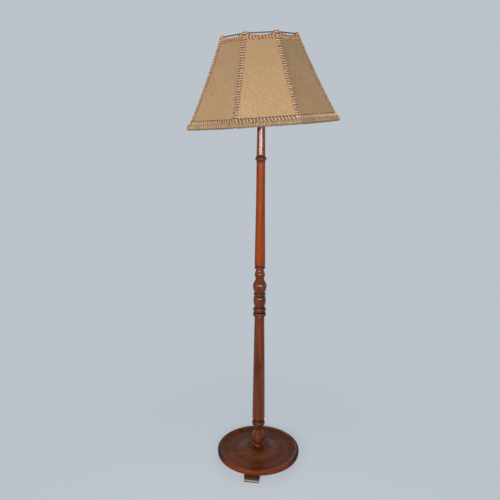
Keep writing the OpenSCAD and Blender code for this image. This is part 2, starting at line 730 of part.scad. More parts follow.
// half of the turn between the faces on each side of a strut
ridge = acos(pow(cos(panel_slope), 2) * cos(45) + pow(sin(panel_slope), 2)) / 2;
cloth_in = ring_wire_d / 2 + seat_gap;
braid_in = cloth_in + cloth_t + seat_gap;
strut_l = shade_h / cos(strut_slope);
// A strut's inward bow at a share t of its height, level and measured from its chord
function bow(t) = 4 * strut_bow / cos(strut_slope) * t * (1 - t);
function corner_r(t) = low_r - (low_r - high_r) * t - bow(t);
half_top = high_r * sin(half_turn);

module on_strut(k) rotate([0, 0, 45 * (k - 1)]) translate([0, -low_r, low_z])
    rotate([-strut_slope, 0, 0]) children();
// x across the panel, y up its slope and z out of its face, from the bottom wire
module on_panel(k) rotate([0, 0, 45 * (k - 1) + half_turn]) translate([0, -low_r * cos(half_turn), low_z])
    rotate([90 - panel_slope, 0, 0]) children();

module gimbal_arm(k) color(steel) at_shade() rotate([0, 0, 180 * (k - 1)]) {
    strip_z = 4.6;
    strip_t = 2;
    strip_w = 8;
    arm_share = (strip_z + strip_t - low_z) / shade_h;
    reach = corner_r(arm_share) - strut_wire_d / 2 / cos(strut_slope) - 3 * seat_gap;
    difference() {
        union() {
            translate([-eye_half_w, -eye_y - gimbal_t, -eye_drop])
                cube([2 * eye_half_w, gimbal_t, eye_drop + strip_z + strip_t]);
            translate([-strip_w / 2, -reach, strip_z]) cube([strip_w, reach - eye_y, strip_t]);
        }
        rotate([90, 0, 0]) cylinder(h = 2 * eye_y + 20, r = pin_d / 2 + run_gap, $fn = 48);
    }
}

module wire_ring(r, z) color(steel) at_shade() rotate_extrude($fn = 8)
    translate([r, z]) circle(d = ring_wire_d, $fn = 16);

// A strut is an arc whose centre lies outside the shade
module strut(k) color(steel) at_shade() on_strut(k) {
    gap = ring_wire_d / 2 + 2 * seat_gap;
    arc_r = (strut_l * strut_l / 4 + strut_bow * strut_bow) / (2 * strut_bow);
    half_arc = asin((strut_l / 2 - gap) / arc_r);
    translate([0, strut_bow - arc_r, strut_l / 2]) rotate([90, 0, 90]) rotate([0, 0, -half_arc])
        rotate_extrude(angle = 2 * half_arc, $fn = 720)
            translate([arc_r, 0]) circle(d = strut_wire_d, $fn = 32);
}

// The bow is drawn in straight steps on all that lies over the struts
bow_n = 8;
// A point of a panel's middle line, as [up its slope, out of its chord plane]
function face_line(t) = let (b = bow(t) * cos(half_turn))
    [panel_l * t + b * sin(panel_slope), -b * cos(panel_slope)];

// A bowed layer of a panel, from one distance out of its face to another, as wide as its outline
module face_layer(inner, outer) intersection() {
    wide = 2 * low_r * sin(half_turn);
    translate([-wide / 2, 0, 0]) rotate([90, 0, 90]) linear_extrude(wide) polygon(concat(
        [for (i = [0:bow_n]) face_line(i / bow_n) + [0, inner]],
        [for (i = [bow_n:-1:0]) face_line(i / bow_n) + [0, outer]]));
    translate([0, 0, -2 * strut_bow]) linear_extrude(4 * strut_bow + outer) children();
}

// The top edge droops in an arc between its two corners
function droop(x) = cloth_droop * (1 - pow(x / half_top, 2));
droop_n = 12;

module panel(k) color(linen) at_shade() on_panel(k) {
    grow = cloth_in * tan(ridge) - seat_gap;
    high = half_top + grow;
    sides = [for (i = [0:bow_n - 1]) [corner_r(i / bow_n) * sin(half_turn) + grow, face_line(i / bow_n)[0]]];
    face_layer(cloth_in, cloth_in + cloth_t) polygon(concat(
        [for (p = sides) p],
        [for (i = [droop_n:-1:-droop_n]) let (x = high * i / droop_n)
            [x, panel_l - droop(x * half_top / high)]],
        [for (i = [bow_n - 1:-1:0]) [-sides[i][0], sides[i][1]]]));
}

// A section in the XY plane that slides along a path of [y, z] points without turning
module slid(section, path) {
    n = len(section);
    last = len(path) - 1;
    polyhedron(
        points = [for (p = path, q = section) [q[0], q[1] + p[0], p[1]]],
        faces = concat(
            [[for (i = [0:n - 1]) i]],
            [[for (i = [n - 1:-1:0]) last * n + i]],
            [for (j = [0:last - 1], i = [0:n - 1])
                [j * n + i, (j + 1) * n + i, (j + 1) * n + (i + 1) % n, j * n + (i + 1) % n]]));
}

// The bottom braid's top edge, as a share of the frame's height
low_band_top = (low_braid_up + low_braid_w) / panel_l;
strut_braid_from = low_band_top + 0.004;
strut_braid_to = 1 - 2 / strut_l;

module strut_braid(k) color(braid_colour) at_shade() on_strut(k) {
    inner = -braid_in / cos(ridge);
    outer = -(braid_in + braid_t) / cos(ridge);
    leg = braid_w / 2;
    shares = concat([strut_braid_from], [for (i = [1:bow_n - 1]) i / bow_n], [strut_braid_to]);
    slid(
        [[0, inner], [-leg * cos(ridge), inner + leg * sin(ridge)],
            [-leg * cos(ridge) - braid_t * sin(ridge), inner + leg * sin(ridge) - braid_t * cos(ridge)],
            [0, outer],
            [leg * cos(ridge) + braid_t * sin(ridge), inner + leg * sin(ridge) - braid_t * cos(ridge)],
            [leg * cos(ridge), inner + leg * sin(ridge)]],
        [for (t = shares) [bow(t) * cos(strut_slope), strut_l * t + bow(t) * sin(strut_slope)]]);
}

// One length of braid on each panel, between the braids on the struts. Its top
// edge follows the cloth, and its lower edge is straight.
module top_braid() color(braid_colour) at_shade() for (k = [1:8]) on_panel(k) {
    high = half_top + braid_in * tan(ridge) - braid_w / 2 - 2 * move_gap;
    low_edge = panel_l - cloth_droop - top_braid_w;
    face_layer(braid_in, braid_in + braid_t) polygon(concat(
        [[-high, low_edge], [high, low_edge]],
        [for (i = [droop_n:-1:-droop_n]) let (x = high * i / droop_n) [x, panel_l - droop(x)]]));
}

// Bands round the bottom, drawn as an outline at a corner of the shade.
// out is the distance out of the face, and up is the distance up its slope.
low_slope = atan((corner_r(0) - corner_r(1 / bow_n)) * cos(half_turn) / (shade_h / bow_n));
function band_point(up, out) = [
    low_r - up * sin(low_slope) / cos(half_turn) + out * cos(low_slope) / cos(half_turn),
    low_z + up * cos(low_slope) + out * sin(low_slope)];

module bottom_braid() color(braid_colour) at_shade() rotate_extrude($fn = 8)
    polygon([
        band_point(low_braid_up, braid_in),
        band_point(low_braid_up + low_braid_w, braid_in),
        band_point(low_braid_up + low_braid_w, braid_in + braid_t),
        band_point(low_braid_up, braid_in + braid_t)]);

// The looped fringe hangs over the bottom wire and curls in under it
module fringe() color(fringe_colour) at_shade() rotate_extrude($fn = 8) {
    top = low_braid_up - 2 * seat_gap;
    bulge = 0.6;
    under = -1;
    hem = 3 * seat_gap;
    polygon(concat(
        [band_point(top, braid_in)],
        [for (i = [0:6]) let (a = 180 * i / 6)
            band_point(top - fringe_h / 2 * (1 - cos(a)), braid_in + bulge + (fringe_t - bulge) * sin(a))],
        [band_point(top - fringe_h, under), band_point(under - cloth_in, under)],
        [band_point(under - cloth_in, cloth_in), band_point(-hem, cloth_in), band_point(-hem, braid_in)]));
}

base_disc();
foot(1);  // foot_1
foot(2);  // foot_2
foot(3);  // foot_3
foot_screws();
screwed_tube(base_tube_z, base_tube_l);  // base_tube
base_washer();
base_nut();
column_lower();
column_middle();
column_upper();
holder_tube();
holder_cap();
holder_core();
contact_plungers();
terminal_screws();
push_bar();
holder_skirt();
shade_ring(low_ring_z, low_ring_h);  // shade_ring_lower
shade_ring(high_ring_z, high_ring_h);  // shade_ring_upper
bulb_cap();
bulb_pins();
bulb_contacts();
bulb_glass();
gimbal_ring();
gimbal_pins();
gimbal_arm(1);  // gimbal_arm_1
gimbal_arm(2);  // gimbal_arm_2
wire_ring(high_r, high_z);  // top_wire
wire_ring(low_r, low_z);  // bottom_wire
for (k = [1:8]) {
    strut(k);
    panel(k);
    strut_braid(k);
}
top_braid();
bottom_braid();
fringe();
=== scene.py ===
import json
import math
import random

import bmesh
import bpy
from bpy.props import FloatProperty, FloatVectorProperty, IntProperty, PointerProperty
from mathutils import Matrix, Vector, noise


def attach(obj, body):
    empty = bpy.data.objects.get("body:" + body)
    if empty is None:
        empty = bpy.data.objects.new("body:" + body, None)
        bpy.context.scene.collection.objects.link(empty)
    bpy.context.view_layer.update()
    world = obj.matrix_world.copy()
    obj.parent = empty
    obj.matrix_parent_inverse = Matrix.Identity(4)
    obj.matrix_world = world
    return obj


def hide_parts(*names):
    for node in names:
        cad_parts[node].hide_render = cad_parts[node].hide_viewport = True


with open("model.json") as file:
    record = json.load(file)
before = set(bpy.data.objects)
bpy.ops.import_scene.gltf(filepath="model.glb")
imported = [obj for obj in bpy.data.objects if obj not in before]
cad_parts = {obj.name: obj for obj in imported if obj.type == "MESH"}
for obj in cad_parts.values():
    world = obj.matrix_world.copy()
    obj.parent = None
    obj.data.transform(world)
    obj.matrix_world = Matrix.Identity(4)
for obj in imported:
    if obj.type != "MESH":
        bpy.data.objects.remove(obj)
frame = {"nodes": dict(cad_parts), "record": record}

bl_info = {
    "name": "Candlestick Floor Lamp",
    "version": (1, 0, 0),
    "blender": (4, 5, 0),
    "location": "View3D > Sidebar > Lamp",
    "description": "Finishes the turned wood, fittings and eight-sided cloth shade of a floor lamp",
    "category": "Add Mesh",
}

NODES = frame["nodes"]
BODY_OF = {
    node: body
    for body, members in frame["record"]["behaviour"]["bodies"].items()
    for node in members
}
MM = 0.001
SIDES = 8
FEET = 3


def srgb(red, green, blue):
    """A colour given in 0 to 255, as the linear values that shaders take."""
    shares = (red / 255, green / 255, blue / 255)
    return tuple(s / 12.92 if s <= 0.04045 else ((s + 0.055) / 1.055) ** 2.4 for s in shares)


LENGTH = {"subtype": "DISTANCE", "unit": "LENGTH"}
TURN = {"subtype": "ANGLE", "unit": "ROTATION"}
WATTS = {"unit": "POWER"}


def colour_property(name, description, red, green, blue):
    """A user's colour, given here in 0 to 255 and stored as linear values."""
    return FloatVectorProperty(
        name=name, description=description, subtype="COLOR", size=3, min=0, max=1,
        default=srgb(red, green, blue),
    )


def number_property(name, description, default, low, high, **kind):
    """A user's number. Its kind is its subtype and unit."""
    return FloatProperty(
        name=name, description=description, default=default, min=low, max=high, **kind
    )


def size_property(name, description, millimetres, low, high):
    """A user's length, given here in millimetres."""
    return number_property(name, description, millimetres * MM, low * MM, high * MM, **LENGTH)


# --- What a user may change ---


class LampWoodSettings(bpy.types.PropertyGroup):
    """Stain and turning of the wood."""

    upper_stain: colour_property("Upper Stain", "Wood of the column's upper length", 140, 58, 14)
    lower_stain: colour_property("Lower Stain", "Wood of the column near the base", 92, 35, 7)
    base_stain: colour_property("Base Stain", "Wood of the round base", 88, 35, 6)
    # the feet's wood, darkened further as painted shade under the rim
    foot_stain_and_shade: colour_property("Foot Stain", "Wood of the feet", 20, 8, 5)
    # pale toe: worn wood and a painted reflection
    toe_wear_and_glint: colour_property("Toe Wear", "Worn wood on a foot's sloping toe", 166, 152, 148)
    # dark of the grain and grime in the grooves, also the colour of painted shade in the grooves,
    # on the base's shoulder and under its rim
    grime_and_shade: colour_property("Grime", "What lies in the grooves", 42, 16, 9)
    steps: IntProperty(
        name="Steps Round", description="Steps round a turned piece", default=128, min=32, max=256
    )
    foot_bevel: size_property("Foot Bevel", "Rounding of a foot's edges", 0.9, 0.2, 2)


class LampMetalSettings(bpy.types.PropertyGroup):
    """Colours of the fittings and the bulb."""

    steel: colour_property("Steel", "Drawn wire and sheet steel", 120, 118, 116)
    wire: colour_property("Wire", "Lacquered wire of the shade's frame", 84, 86, 100)
    brass: colour_property("Brass", "Aged brass of the lampholder", 190, 150, 84)
    resin: colour_property("Resin", "Moulded core and push bar", 48, 28, 20)
    glass: colour_property("Glass", "Pearl glass of the bulb", 240, 238, 230)
    edge: size_property("Edge Rounding", "Rounding of the metal's edges", 0.25, 0.05, 0.5)


class LampShadeSettings(bpy.types.PropertyGroup):
    """Cloth, braid and fringe of the shade."""

    linen: colour_property("Linen", "Cloth of the panels", 209, 171, 128)
    lining: colour_property("Lining", "Cloth inside the panels", 236, 228, 212)
    braid: colour_property("Braid", "Pale yarn of the braid", 232, 192, 150)
    stitch: colour_property("Stitch", "Dark tape under the braid", 114, 68, 38)
    top_yarn: colour_property("Top Yarn", "Yarn of the braid along the top", 236, 184, 136)
    rope: colour_property("Rope", "Yarn of the flat rope round the bottom", 240, 198, 164)
    fringe: colour_property("Fringe", "Yarn of the looped fringe", 196, 160, 116)
    sag: size_property("Sag", "How far a panel's middle lies in from its struts", 1.6, 0, 3)
    cloth: size_property("Cloth", "Thickness of the cloth with its lining", 1.2, 0.5, 2)
    eye: size_property("Braid Eye", "Distance between the braid's rungs", 8.8, 5, 14)
    twist: size_property("Twist", "Length in which a cord's two plies turn once", 4.6, 3, 8)
    loop_pitch: size_property("Loop Pitch", "Distance between the fringe's loops", 5, 1.8, 7)
    strand: size_property("Strand", "Distance between the bottom braid's strands", 11, 5, 14)


class LampStageSettings(bpy.types.PropertyGroup):
    """Camera, lights and backdrop."""

    backdrop: colour_property("Backdrop", "Colour of the floor and backdrop", 188, 195, 203)
    camera_distance: number_property(
        "Camera Distance", "From the column's axis to the camera", 1.9766, 1, 6, **LENGTH
    )
    camera_height: number_property(
        "Camera Height", "From the floor to the camera", 1.3213, 0.3, 3, **LENGTH
    )
    camera_pitch: number_property(
        "Camera Pitch", "How far the camera looks down", 0.22474, -1, 1, **TURN
    )
    camera_yaw: number_property(
        "Camera Yaw", "How far the camera looks to its right", -0.0191, -1, 1, **TURN
    )
    camera_roll: number_property(
        "Camera Roll", "Turn of the camera about its own axis", 0.0050, -0.5, 0.5, **TURN
    )
    lens: number_property("Lens", "Focal length", 38.88, 10, 200, unit="CAMERA")
    daylight: number_property("Daylight", "Strength of the light from all round", 0.15, 0, 2)
    key_power: number_property("Key Power", "Power of the front softbox", 49, 0, 500, **WATTS)
    strip_power: number_property(
        "Strip Power", "Power of the low light on the left", 26, 0, 500, **WATTS
    )
    fill_power: number_property("Fill Power", "Power of the fill light", 2, 0, 500, **WATTS)
    rear_power: number_property(
        "Rear Power", "Power of the light behind the lamp", 22, 0, 500, **WATTS
    )


SETTINGS = {
    "lamp_wood": LampWoodSettings,
    "lamp_metal": LampMetalSettings,
    "lamp_shade": LampShadeSettings,
    "lamp_stage": LampStageSettings,
}


# --- Shader maths ---


class Wire:
    """A shader output that takes part in Python expressions as Math nodes."""

    def __init__(self, nodes, socket):
        self.nodes = nodes
        self.socket = socket

    def __add__(self, other):
        return self.nodes.maths("ADD", self, other)

    def __sub__(self, other):
        return self.nodes.maths("SUBTRACT", self, other)

    def __rsub__(self, other):
        return self.nodes.maths("SUBTRACT", other, self)

    def __mul__(self, other):
        return self.nodes.maths("MULTIPLY", self, other)

    def __pow__(self, other):
        return self.nodes.maths("POWER", self, other)

    __radd__ = __add__
    __rmul__ = __mul__

    def sine(self):
        return self.nodes.maths("SINE", self)

    def cosine(self):
        return self.nodes.maths("COSINE", self)

    def clamp(self):
        """The value, kept between 0 and 1."""
        return self.nodes.node("ShaderNodeClamp", values={"Value": self})

    def ramp(self, low, high):
        """0 below low, 1 above high, and a smooth step between them."""
        return self.nodes.node(
            "ShaderNodeMapRange",
            {"interpolation_type": "SMOOTHSTEP"},
            {"Value": self, "From Min": low, "From Max": high},
        )

    def band(self, rise, fall):
        """A smooth step up between the two values of rise, and down between those of fall."""
        return self.ramp(*rise) * (1 - self.ramp(*fall))


class Nodes:
    """An emptied node tree, whose nodes all come from one method."""

    def __init__(self, tree):
        self.tree = tree
        tree.nodes.clear()

    def node(self, kind, settings=None, values=None, output=0):
        """Any node: its settings are set first, then each socket's value or link."""
        made = self.tree.nodes.new(kind)
        for name, value in (settings or {}).items():
            setattr(made, name, value)
        self.connect(made, values or {})
        return Wire(self, made.outputs[output]) if made.outputs else None

    def connect(self, made, values):
        """Gives a node's sockets their values, or links them to wires."""
        for key, value in values.items():
            socket = made.inputs[key]
            if isinstance(value, Wire):
                self.tree.links.new(value.socket, socket)
            elif socket.type == "RGBA":
                socket.default_value = (*value[:3], 1)
            else:
                socket.default_value = value

    def maths(self, operation, *values):
        return self.node("ShaderNodeMath", {"operation": operation}, dict(enumerate(values)))

    def length(self, vector):
        """A vector's length."""
        return self.node(
            "ShaderNodeVectorMath", {"operation": "LENGTH"}, {0: vector}, output="Value"
        )

    def place(self, output="Object"):
        """The point's place on the object, or on the texture coordinates that are named."""
        return self.node("ShaderNodeTexCoord", output=output)

    def backdrop_rays(self):
        """1 for the camera's own rays and those that come by way of gloss or glass."""
        camera, glossy, glass = (
            self.node("ShaderNodeLightPath", output=f"Is {name} Ray")
            for name in ("Camera", "Glossy", "Transmission")
        )
        return (camera + glossy + glass).clamp()


class Finish(Nodes):
    """A procedural material round one Principled shader. In the names of the shader's
    sockets, an underscore stands for a space."""

    # a colour Mix node's factor, its two colours and its result
    MIX_SOCKETS = (0, 6, 7)
    MIX_RESULT = 2

    def __init__(self, name, **constants):
        self.material = bpy.data.materials.new(name)
        self.material.use_nodes = True
        super().__init__(self.material.node_tree)
        surface = self.node("ShaderNodeBsdfPrincipled")
        self.node("ShaderNodeOutputMaterial", values={"Surface": surface})
        self.shader = surface.socket.node
        self.drive(**constants)

    def drive(self, **values):
        """Sets or links the shader's own sockets, and gives back the material."""
        self.connect(self.shader, {name.replace("_", " "): v for name, v in values.items()})
        return self.material

    def mapped(self, vector, scale, shift=(0, 0, 0)):
        return self.node(
            "ShaderNodeMapping", values={"Vector": vector, "Scale": scale, "Location": shift}
        )

    def noise(self, vector, scale, detail=2, roughness=0.5, distortion=0, shift=(0, 0, 0)):
        """Noise from 0 to 1. A scale of three numbers stretches it along the axes."""
        if isinstance(scale, tuple):
            vector, scale = self.mapped(vector, scale, shift), 1
        return self.node("ShaderNodeTexNoise", values={
            "Vector": vector, "Scale": scale, "Detail": detail, "Roughness": roughness,
            "Distortion": distortion,
        })

    def attribute(self, name, output="Fac"):
        return self.node("ShaderNodeAttribute", {"attribute_name": name}, output=output)

    def part(self, vector, axis):
        """One of a vector's three numbers."""
        return self.node("ShaderNodeSeparateXYZ", values={0: vector}, output=axis)

    def joined(self, *numbers):
        """A vector of up to three numbers."""
        return self.node("ShaderNodeCombineXYZ", values=dict(enumerate(numbers)))

    def mix(self, factor, first, second):
        """A colour from first at 0 to second at 1."""
        values = dict(zip(self.MIX_SOCKETS, (factor, first, second)))
        return self.node("ShaderNodeMix", {"data_type": "RGBA"}, values, self.MIX_RESULT)

    def bump(self, height, distance, strength):
        return self.node(
            "ShaderNodeBump", values={"Height": height, "Distance": distance, "Strength": strength}
        )


def tinted(colour, share):
    """The colour made darker, or lighter above a share of 1."""
    return tuple(min(1.0, value * share) for value in colour)


# --- Finishes ---

DISC_RADIUS = max(math.hypot(v.co.x, v.co.y) for v in NODES["base_disc"].data.vertices)
# heights between which the column's stain and polish change
UPPER_STAIN_AT = (0.78, 0.84)
NECK_AT = (1.19, 1.20)
# where the dish has a painted grey sheen, out from the axis, and its lip a painted highlight, out
# from its edge
SHEEN_RING = (50 * MM, 62 * MM), (66 * MM, 90 * MM)
LIP_HIGHLIGHT_BAND = (-13 * MM, -11 * MM), (-10 * MM, -8 * MM)
# from a patch of painted light on the dish to the axis, and how far the patch reaches
FROM_LIT_PATCH = (95 * MM, 130 * MM, 0)
LIT_PATCH_REACH = (30 * MM, 125 * MM)
# heights of the slope on a toe that is painted pale: worn wood and a painted reflection
TOE_SLOPE = (2.6 * MM, 3.4 * MM), (6.2 * MM, 7.6 * MM)
LINEN_PITCH = 1.15 * MM
LINING_PITCH = 0.55 * MM

HONEY = srgb(226, 132, 66)
# painted highlight on the crests of the turning
CREST_HIGHLIGHT = srgb(218, 128, 74)
# painted highlight along the base's lip
LIP_HIGHLIGHT = srgb(196, 138, 100)
# painted grey sheen of the glossy dish
SHEEN_GREY = srgb(112, 92, 78)


class Wood(Finish):
    """Turned, stained and polished wood, whose grain runs along one axis. Patterns are scaled
    in repeats for each metre, given in pairs: across the grain and along it."""

    STREAKS = (60, 5)
    PORES = (1500, 90)
    RING_SQUASH = (1.0, 0.04)
    # phase of the growth rings for each metre, and the pith's place by the grain's axis
    RING_RADIANS = 1400
    RING_WANDER = 0.03
    FROM_PITH = {0: (0, 0.05, 0.22), 2: (0.16, 0.11, 0)}
    TOOL_MARKS = 380
    TOOL_SLICE = 0.3
    RELIEF_DEPTH = 0.12 * MM

    def __init__(self, name, grime_and_shade, along, **constants):
        super().__init__(name, Coat_Roughness=0.08, IOR=1.2, **constants)
        self.grime_and_shade = grime_and_shade
        self.along = along
        self.at = self.place()
        self.height = self.part(self.at, 2)
        self.radius = self.length(self.mapped(self.at, (1, 1, 0)))
        self.warp = self.noise(self.at, 3.2)
        self.smear = self.noise(self.at, 26, 4, 0.6)
        self.streaks = self.noise(self.at, self.by_grain(self.STREAKS), 5, 0.6, 0.4)
        self.pores = self.noise(self.at, self.by_grain(self.PORES)).ramp(0.60, 0.72)
        self.relief = self.attribute("relief")
        self.groove = (self.relief * -1).ramp(0.08, 0.75)

    def by_grain(self, pair):
        """A pattern's scale along the three axes."""
        across, lengthways = pair
        return tuple(lengthways if axis == self.along else across for axis in range(3))

    def growth_rings(self):
        """Rings round a pith that lies beside the piece, from 0 to 1."""
        beside = self.node(
            "ShaderNodeVectorMath", {"operation": "ADD"},
            {0: self.at, 1: self.FROM_PITH[self.along]},
        )
        distance = self.length(self.mapped(beside, self.by_grain(self.RING_SQUASH)))
        wandering = distance + self.warp * self.RING_WANDER
        return (wandering * self.RING_RADIANS).sine() * 0.5 + 0.5

    def stained(self, stain, figure=0.3):
        """The stained wood's colour, with grime and painted shade in its grooves, a painted
        highlight on its crests and painted shade on its proud beads. figure is the strength of its
        growth rings."""
        dark = self.mix(0.62, stain, self.grime_and_shade)
        light = self.mix(0.14, stain, HONEY)
        colour = self.mix(self.streaks.ramp(0.35, 0.72), light, stain)
        rings = self.growth_rings() * figure * self.streaks.ramp(0.3, 0.7)
        colour = self.mix(rings, colour, dark)
        colour = self.mix(self.pores * 0.45, colour, dark)
        colour = self.mix(self.noise(self.at, 9, 3).ramp(0.45, 0.8) * 0.28, colour, dark)
        # grime and painted shade in the grooves
        colour = self.mix(self.groove * 0.62, colour, self.grime_and_shade)
        # a painted highlight on the crests
        crest_glint = self.relief.ramp(0.25, 1.0) * self.noise(self.at, 60).ramp(0.35, 0.6)
        colour = self.mix(crest_glint * 0.06, colour, CREST_HIGHLIGHT)
        # painted shade: the proud beads darker all round
        return self.mix(self.relief.ramp(0.2, 0.9) * 0.6, colour, dark)

    def polished(self, colour, rough):
        """The material in a colour, with marks of the turning tool that run round the axis."""
        rough = rough + self.smear.ramp(0.42, 0.75) * 0.14 + self.groove * 0.25 + self.pores * 0.1
        lathe = self.joined(
            self.radius * self.TOOL_MARKS, self.height * self.TOOL_MARKS, self.TOOL_SLICE
        )
        relief = self.noise(lathe, 1, 3, 0.6) * 0.6 + self.pores * -0.5 + self.streaks * 0.4
        normal = self.bump(relief, self.RELIEF_DEPTH, 0.5)
        return self.drive(Base_Color=colour, Roughness=rough.clamp(), Normal=normal)


def base_polish(wood):
    """Polish of the round base: ringed by the lathe, with a painted sheen in the dish, a painted
    pool of light at the front left, painted shade on the shoulder at the back and under the rim
    above the feet, painted light along the front rim and a painted highlight along the lip."""
    finish = Wood("base_polish", wood.grime_and_shade, along=0, Coat_Weight=0.12)
    past_edge = finish.radius - DISC_RADIUS
    depth = finish.part(finish.at, 1)
    colour = finish.stained(wood.base_stain, figure=0.1)
    lathe_rings = finish.noise(finish.joined(finish.radius * 90), 1, 4, 0.7).ramp(0.42, 0.6)
    colour = finish.mix(lathe_rings * 0.55, colour, tinted(wood.grime_and_shade, 1.3))
    # a painted grey sheen round the centre of the dish
    painted_sheen = finish.radius.band(*SHEEN_RING)
    painted_sheen = painted_sheen * finish.noise(finish.at, (14, 14, 0)).ramp(0.36, 0.6)
    colour = finish.mix(painted_sheen * 0.3, colour, SHEEN_GREY)
    # a painted pool of light at the front left of the dish
    from_patch = finish.length(finish.mapped(finish.at, (1, 1, 0), shift=FROM_LIT_PATCH))
    lit_patch = 1 - (from_patch + finish.warp * 0.05).ramp(*LIT_PATCH_REACH)
    colour = finish.mix(lit_patch * 0.6, colour, tinted(wood.base_stain, 2.4))
    # painted shade on the outer shoulder at the back
    shoulder_shade = past_edge.ramp(-9 * MM, -5 * MM) * depth.ramp(-130 * MM, -40 * MM)
    colour = finish.mix(shoulder_shade * 0.9, colour, tinted(wood.grime_and_shade, 0.3))
    # painted light along the front rim, in patches
    rim = (1 - depth.ramp(-130 * MM, -70 * MM)) * past_edge.ramp(-12 * MM, -8 * MM)
    pale_share = finish.noise(finish.at, (26, 26, 300), 4, 0.7).ramp(0.36, 0.62)
    colour = finish.mix(rim * (0.2 + pale_share * 0.65), colour, tinted(wood.base_stain, 2.8))
    # painted shadow under the rim, above the feet
    underside = 1 - finish.height.ramp(26.5 * MM, 29.5 * MM)
    shadow = underside * past_edge.ramp(-6 * MM, -3 * MM)
    colour = finish.mix(shadow * 0.85, colour, tinted(wood.grime_and_shade, 0.4))
    # a painted highlight along the lip
    lip_glint = past_edge.band(*LIP_HIGHLIGHT_BAND)
    lip_glint = lip_glint * finish.noise(finish.at, (9, 9, 9)).ramp(0.42, 0.6)
    colour = finish.mix(lip_glint * 0.5, colour, LIP_HIGHLIGHT)
    return finish.polished(colour, 0.30)


def foot_polish(wood):
    """Dark polish of the feet, darkened further as painted shade under the rim, and pale on the
    slope of each toe: worn wood and a painted reflection.
    """
    finish = Wood("foot_polish", wood.grime_and_shade, along=0, Coat_Weight=0.1)
    slope = finish.height.band(*TOE_SLOPE)
    toe = slope * (finish.radius - DISC_RADIUS).ramp(-0.2 * MM, 0.4 * MM)
    # the toe's slope pale: worn wood and a painted reflection
    pale_share = toe * (0.95 - finish.smear.ramp(0.5, 0.8) * 0.45)
    colour = finish.mix(pale_share, finish.stained(wood.foot_stain_and_shade), wood.toe_wear_and_glint)
    return finish.polished(colour, 0.30)


def column_polish(wood):
    """Polish of the column: redder above the knops, and browner again on the neck. The neck
    and the lengths below the upper shaft keep more of their shine."""
    finish = Wood("column_polish", wood.grime_and_shade, along=2)
    upper = finish.height.ramp(*UPPER_STAIN_AT)
    neck = finish.height.ramp(*NECK_AT)
    stain = finish.mix(upper, wood.lower_stain, wood.upper_stain)
    stain = finish.mix(neck * 0.5, stain, wood.grime_and_shade)
    finish.drive(Coat_Weight=neck * 0.42 + (1 - upper) * 0.26 + 0.12)
    return finish.polished(finish.stained(stain), 0.24)


def metal_finish(name, colour, tarnish, rough, spots=0.5, metallic=1.0):
    """Metal with brushed streaks, tarnished patches and small spots."""
    finish = Finish(name, Metallic=metallic)
    place = finish.place()
    patches = finish.noise(place, 55, 4, 0.6).ramp(0.45, 0.7)
    specks = finish.noise(place, 420).ramp(0.62, 0.72)
    brushed = finish.noise(place, (900, 900, 120))
    cover = (patches * 0.6 + specks * spots).clamp()
    roughness = rough + cover * 0.22 + brushed * 0.1
    normal = finish.bump(brushed * 0.5 + cover * 0.5, 0.04 * MM, 0.5)
    return finish.drive(
        Base_Color=finish.mix(cover, colour, tarnish), Roughness=roughness.clamp(), Normal=normal
    )


def resin_finish(name, colour):
    """Moulded brown resin with a faint mottle."""
    finish = Finish(name, Coat_Weight=0.2, Coat_Roughness=0.2)
    place = finish.place()
    mottle = finish.noise(place, 240, 4, 0.7, 1.2)
    shade = finish.mix(mottle.ramp(0.4, 0.7) * 0.6, colour, srgb(84, 46, 28))
    normal = finish.bump(finish.noise(place, 900), 0.03 * MM, 0.4)
    return finish.drive(Base_Color=shade, Roughness=0.34 + mottle * 0.1, Normal=normal)


def glass_finish(name, colour):
    """Pearl glass: milky, smooth and a little dusty."""
    finish = Finish(
        name, Coat_Weight=0.6, Coat_Roughness=0.06, Subsurface_Weight=0.3, Subsurface_Scale=4 * MM
    )
    dust = finish.noise(finish.place(), 180, 4, 0.6)
    shade = finish.mix(dust.ramp(0.5, 0.8) * 0.2, colour, srgb(196, 190, 176))
    normal = finish.bump(dust, 0.02 * MM, 0.3)
    return finish.drive(Base_Color=shade, Roughness=0.2 + dust * 0.15, Normal=normal)


def woven(finish, pitch):
    """Height, uneven threads and gaps of a plain weave, with the place in metres on the
    piece's own UV map."""
    flat = finish.place("UV")
    turns = math.pi / pitch
    wander = finish.noise(flat, 90) * (0.8 * MM)
    across = (finish.part(flat, 0) + wander) * turns
    along = (finish.part(flat, 1) + wander) * turns
    warp = across.sine() ** 2
    weft = along.sine() ** 2
    over = (across.cosine() * along.cosine()).ramp(-0.2, 0.2)
    height = warp * over + weft * (1 - over)
    slub_warp = finish.noise(flat, (1 / pitch, 26, 1))
    slub_weft = finish.noise(flat, (26, 1 / pitch, 1), shift=(7, 3, 0))
    slub = slub_warp * over + slub_weft * (1 - over)
    gap = (1 - warp.ramp(0, 0.35)) * (1 - weft.ramp(0, 0.35))
    return flat, height, slub, gap


